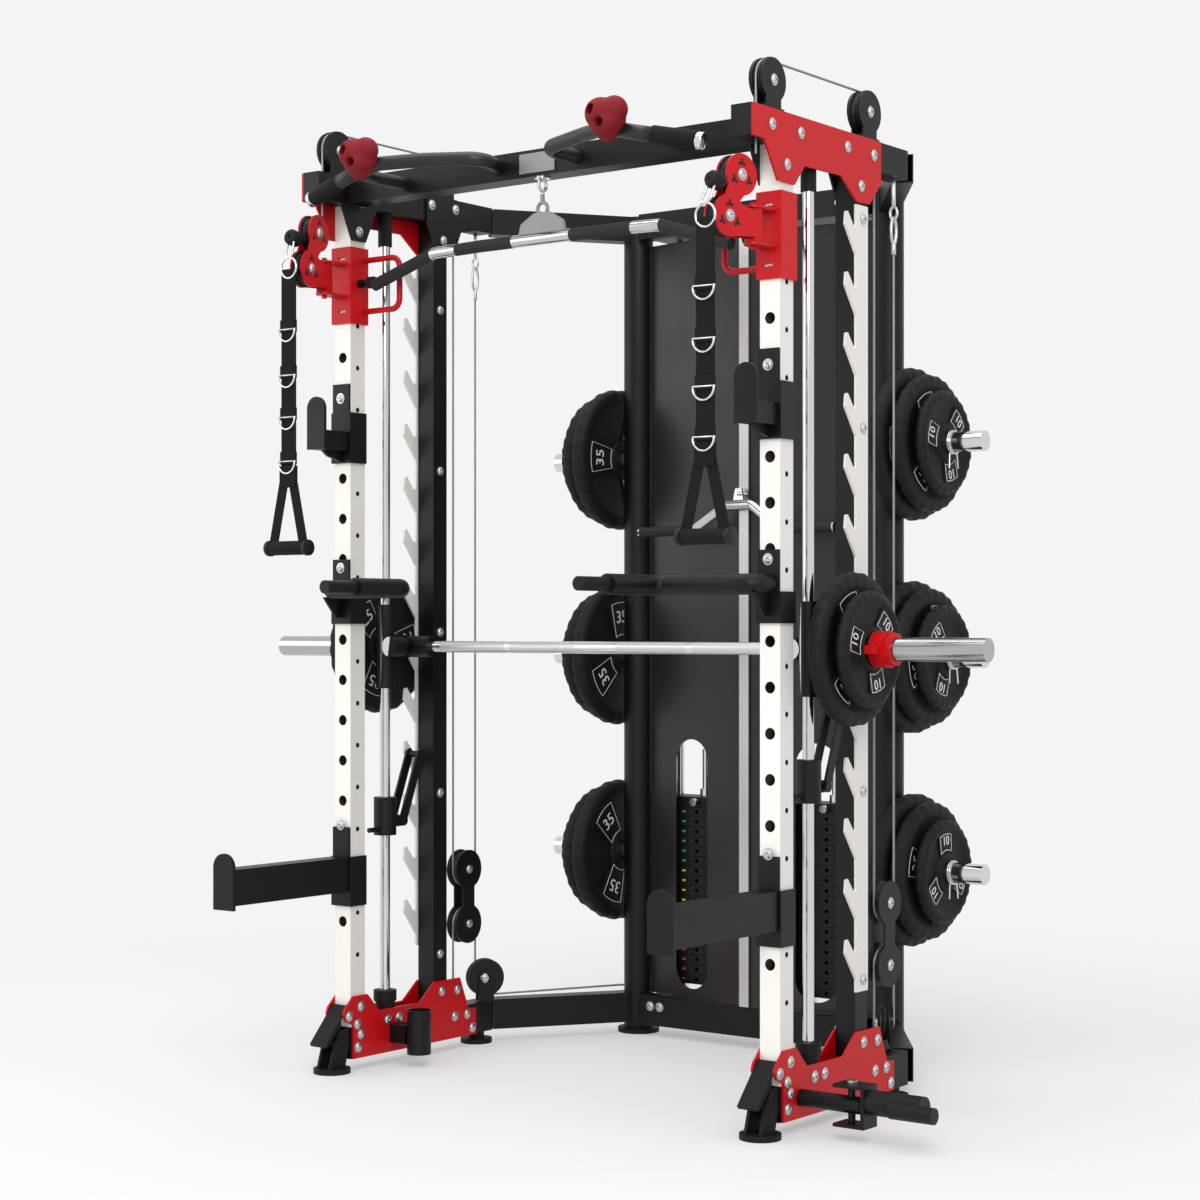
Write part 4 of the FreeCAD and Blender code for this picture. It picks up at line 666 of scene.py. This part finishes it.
for side, sign in sides:
    x = ropeSizes["x"] * sign
    topHigh = sum(c.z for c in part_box(f"top_pulley_front_{side}")) / 2
    firstY = sum(c.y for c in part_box(f"top_pulley_front_{side}")) / 2
    lastY = sum(c.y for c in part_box(f"top_pulley_rear_{side}")) / 2
    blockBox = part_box("float_block_" + side)
    blockY = lastY + 2 * lift
    wheelHigh, wheelLow = blockBox[1].z - ropeSizes["wheelEnd"], blockBox[0].z + ropeSizes["wheelEnd"]
    over = [(x, firstY - lift, ropeSizes["start"])] + ropeArc(x, firstY, topHigh, 180, 90)
    over += ropeArc(x, lastY, topHigh, 90, 0)
    static = [wireForm("ropeOver", over, radius, rope)]
    lowWheel = [sum(c[i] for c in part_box("low_pulley_" + side)) / 2 for i in range(3)]
    static.append(wireForm("ropeBack", rounded([
        (x, blockY + lift, lowWheel[2]),
        (lowWheel[0] - sign * 0.010, lowWheel[1] + 0.012, lowWheel[2] - 0.044),
        (0.400 * sign, postLine - 0.045, 0.124), (0.345 * sign, postLine + 0.03, 0.118)],
        0.03), radius, rope))
    group = join("ropeFixed" + side.capitalize(), *static)
    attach(group, "frame")
    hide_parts("cables")
    curls = join("ropeCurl" + side.capitalize(),
                 wireForm("curl", ropeArc(x, blockY, wheelHigh, 180, 360), radius, rope),
                 wireForm("curl", ropeArc(x, blockY, wheelLow, 180, 0), radius, rope))
    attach(curls, "float_block_" + side)
    for name, start, end in (
        ("ropeDown", (x, blockY - lift, topHigh), (x, blockY - lift, wheelHigh)),
        ("ropeUp", (x, blockY + lift, ropeSizes["ferrule"]), (x, blockY + lift, wheelHigh)),
        ("ropeAnchor", (x, blockY - lift, ropeSizes["anchor"]), (x, blockY - lift, wheelLow)),
        ("ropeLow", (x, blockY + lift, lowWheel[2]), (x, blockY + lift, wheelLow)),
    ):
        count = ropeSizes["rows"]
        path = [Vector(start).lerp(Vector(end), i / count) for i in range(count + 1)]
        run = wireForm(name + side.capitalize(), path, radius, rope)
        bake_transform(run)
print("stage: ropes")

# Snap hooks that hold the rope ends under the top rails
hookSizes = {"snap": (0.011, 0.030, 1.945, 0.0034), "eye": (0.009, 0.014, 1.985, 0.003),
             "stem": (0.0045, 0.062, 2.030), "ferrule": (0.005, 0.026, 1.905)}
hooks = []
for side, sign in sides:
    x, y = ropeSizes["x"] * sign, sum(c.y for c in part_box("float_block_" + side)) / 2 + lift
    wide, tall, high, wire = hookSizes["snap"]
    oval = [(x, y + wide * math.sin(a), high + tall * math.cos(a)) for a in fullTurn(24)]
    hooks.append(wireForm("snapHook", oval, wire, zinc, cyclic=True))
    wide, tall, high, wire = hookSizes["eye"]
    oval = [(x + wide * math.sin(a), y, high + tall * math.cos(a)) for a in fullTurn(24)]
    hooks.append(wireForm("eye", oval, wire, zinc, cyclic=True))
    for name in ("stem", "ferrule"):
        thick, tall, high = hookSizes[name]
        hooks.append(cylinder(name, thick, tall, (x, y, high), (0, 0, 1), zinc))
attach(join("ropeHooks", *hooks), "frame")

# Climbing holds: fused balls of cast resin with two finger holes
holdSizes = {"balls": ((0, 0.002, 0, 0.040), (-0.020, 0, 0.016, 0.029), (0.020, 0, 0.016, 0.029),
                       (0, 0.002, -0.026, 0.023), (-0.004, -0.014, 0.008, 0.034),
                       (0.004, -0.012, -0.010, 0.030)),
             "holes": ((-0.012, 0.014, 0.0115), (0.008, -0.014, 0.0100)), "drill": 0.060, "drillOut": 0.050,
             "half": 0.048, "voxel": 0.0022}
holds = []
for side, sign in sides:
    low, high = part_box("climbing_holds")
    centre = Vector((sign * (high.x - holdSizes["half"]), (low.y + high.y) / 2, (low.z + high.z) / 2))
    balls = []
    for x, y, z, size in holdSizes["balls"]:
        spot = centre + Vector((x, y, z))
        bpy.ops.mesh.primitive_uv_sphere_add(segments=32, ring_count=16, radius=size, location=spot)
        balls.append(settle(active("ball", resin)))
    hold = join("hold", *balls)
    for x, z, bore in holdSizes["holes"]:
        spot = centre + Vector((x, -holdSizes["drillOut"], z))
        drill = cylinder("drill", bore, holdSizes["drill"], spot, (0, 1, 0), resin, bevel=0.0005)
        hole = hold.modifiers.new("hole", "BOOLEAN")
        hole.object = drill
        hole.operation = "DIFFERENCE"
        bpy.context.view_layer.objects.active = hold
        if not hold.modifiers.get("body"):
            body = hold.modifiers.new("body", "REMESH")
            body.mode = "VOXEL"
            body.voxel_size = holdSizes["voxel"]
            bpy.ops.object.modifier_move_to_index(modifier="body", index=0)
            bpy.ops.object.modifier_apply(modifier="body")
        bpy.ops.object.modifier_apply(modifier="hole")
        bpy.data.objects.remove(drill)
    soft = hold.modifiers.new("soft", "SMOOTH")
    soft.iterations = 4
    bpy.ops.object.modifier_apply(modifier="soft")
    holds.append(smooth(hold, 60))
holdSet = join("climbingHolds", *holds)
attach(holdSet, "frame")
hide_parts("climbing_holds")
print("stage: hooks and holds")

# Foam grips and chromed end caps on the pull-up bars
gripSizes = {"start": (0.406, 0.222, 2.078), "end": (0.546, 0.190, 2.048), "bevel": 0.003,
             "foam": (0.0195, 0.70, 0.60), "cap": (0.0185, 0.10, 1.0)}
caps = []
for side, sign in sides:
    ends = (gripSizes["start"], gripSizes["end"])
    start, end = (Vector((sign * x, front - out, high)) for x, out, high in ends)
    run = end - start
    for name, finish in (("foam", foam), ("cap", chrome)):
        thick, share, along = gripSizes[name]
        caps.append(cylinder(name, thick, run.length * share, start + run * along, run, finish,
                             bevel=gripSizes["bevel"]))
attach(join("gripEnds", *caps), "frame")
print("stage: grip ends")

# Storage clips: sprung wire loops whose handles point down and outward
clipSizes = {"coil": 0.0272, "drop": 0.0295, "wire": 0.0023, "start": 250, "turns": 2.2, "wide": 0.010,
             "steps": 60, "leverDrop": 0.0262, "lever": 0.036}
clips = []
for low, high in loose("horn_clips"):
    sign = 1 if low.x > 0 else -1
    x, y, z = (low.x + high.x) / 2, postLine, high.z - clipSizes["drop"]
    coil = []
    for step in range(clipSizes["steps"] + 1):
        share = step / clipSizes["steps"]
        angle = math.radians(clipSizes["start"]) + math.tau * clipSizes["turns"] * share
        coil.append((x + sign * (share - 0.5) * clipSizes["wide"], y + clipSizes["coil"] * math.cos(angle),
                     z + clipSizes["coil"] * math.sin(angle)))
    clips.append(wireForm("coil", coil, clipSizes["wire"], chrome))
    for lean in (-1, 1):
        start = Vector((x + sign * lean * 0.005, y + lean * 0.008, z - clipSizes["leverDrop"]))
        end = start + Vector((sign * 0.001, lean * 0.004, -clipSizes["lever"]))
        clips.append(wireForm("lever", [start, end], clipSizes["wire"], chrome))
clipSet = join("hornClips", *clips)
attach(clipSet, "frame")
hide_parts("horn_clips")
print("stage: clips")

# Coloured weight marks on the stack plates
markTones = [paint(name, tone, 0.5) for name, tone in (  # printed labels
    ("green mark", "2E9E5B"), ("yellow mark", "D8B62A"), ("red mark", "C4282B"))]
markSizes = {"base": 0.137, "pitch": 0.0254, "up": 0.0122, "plates": 18, "tone": 6, "thick": 0.0008,
             "ticks": ((0.096, 0.012, 0.007), (0.236, 0.010, 0.005))}
marks = []
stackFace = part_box("stack_plates")[0].y
for side, sign in sides:
    for count in range(markSizes["plates"]):
        high = markSizes["base"] + markSizes["pitch"] * count + markSizes["up"]
        tone = markTones[2 - count // markSizes["tone"]]
        for x, wide, tall in markSizes["ticks"]:
            spot = (sign * x, stackFace - 0.0002, high)
            marks.append(block("tick", (wide, markSizes["thick"], tall), spot, tone, 0))
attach(join("stackMarks", *marks), "frame")
print("stage: stack marks")

size = {"before": [list(c) for c in startBounds], "after": [list(c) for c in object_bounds()]}
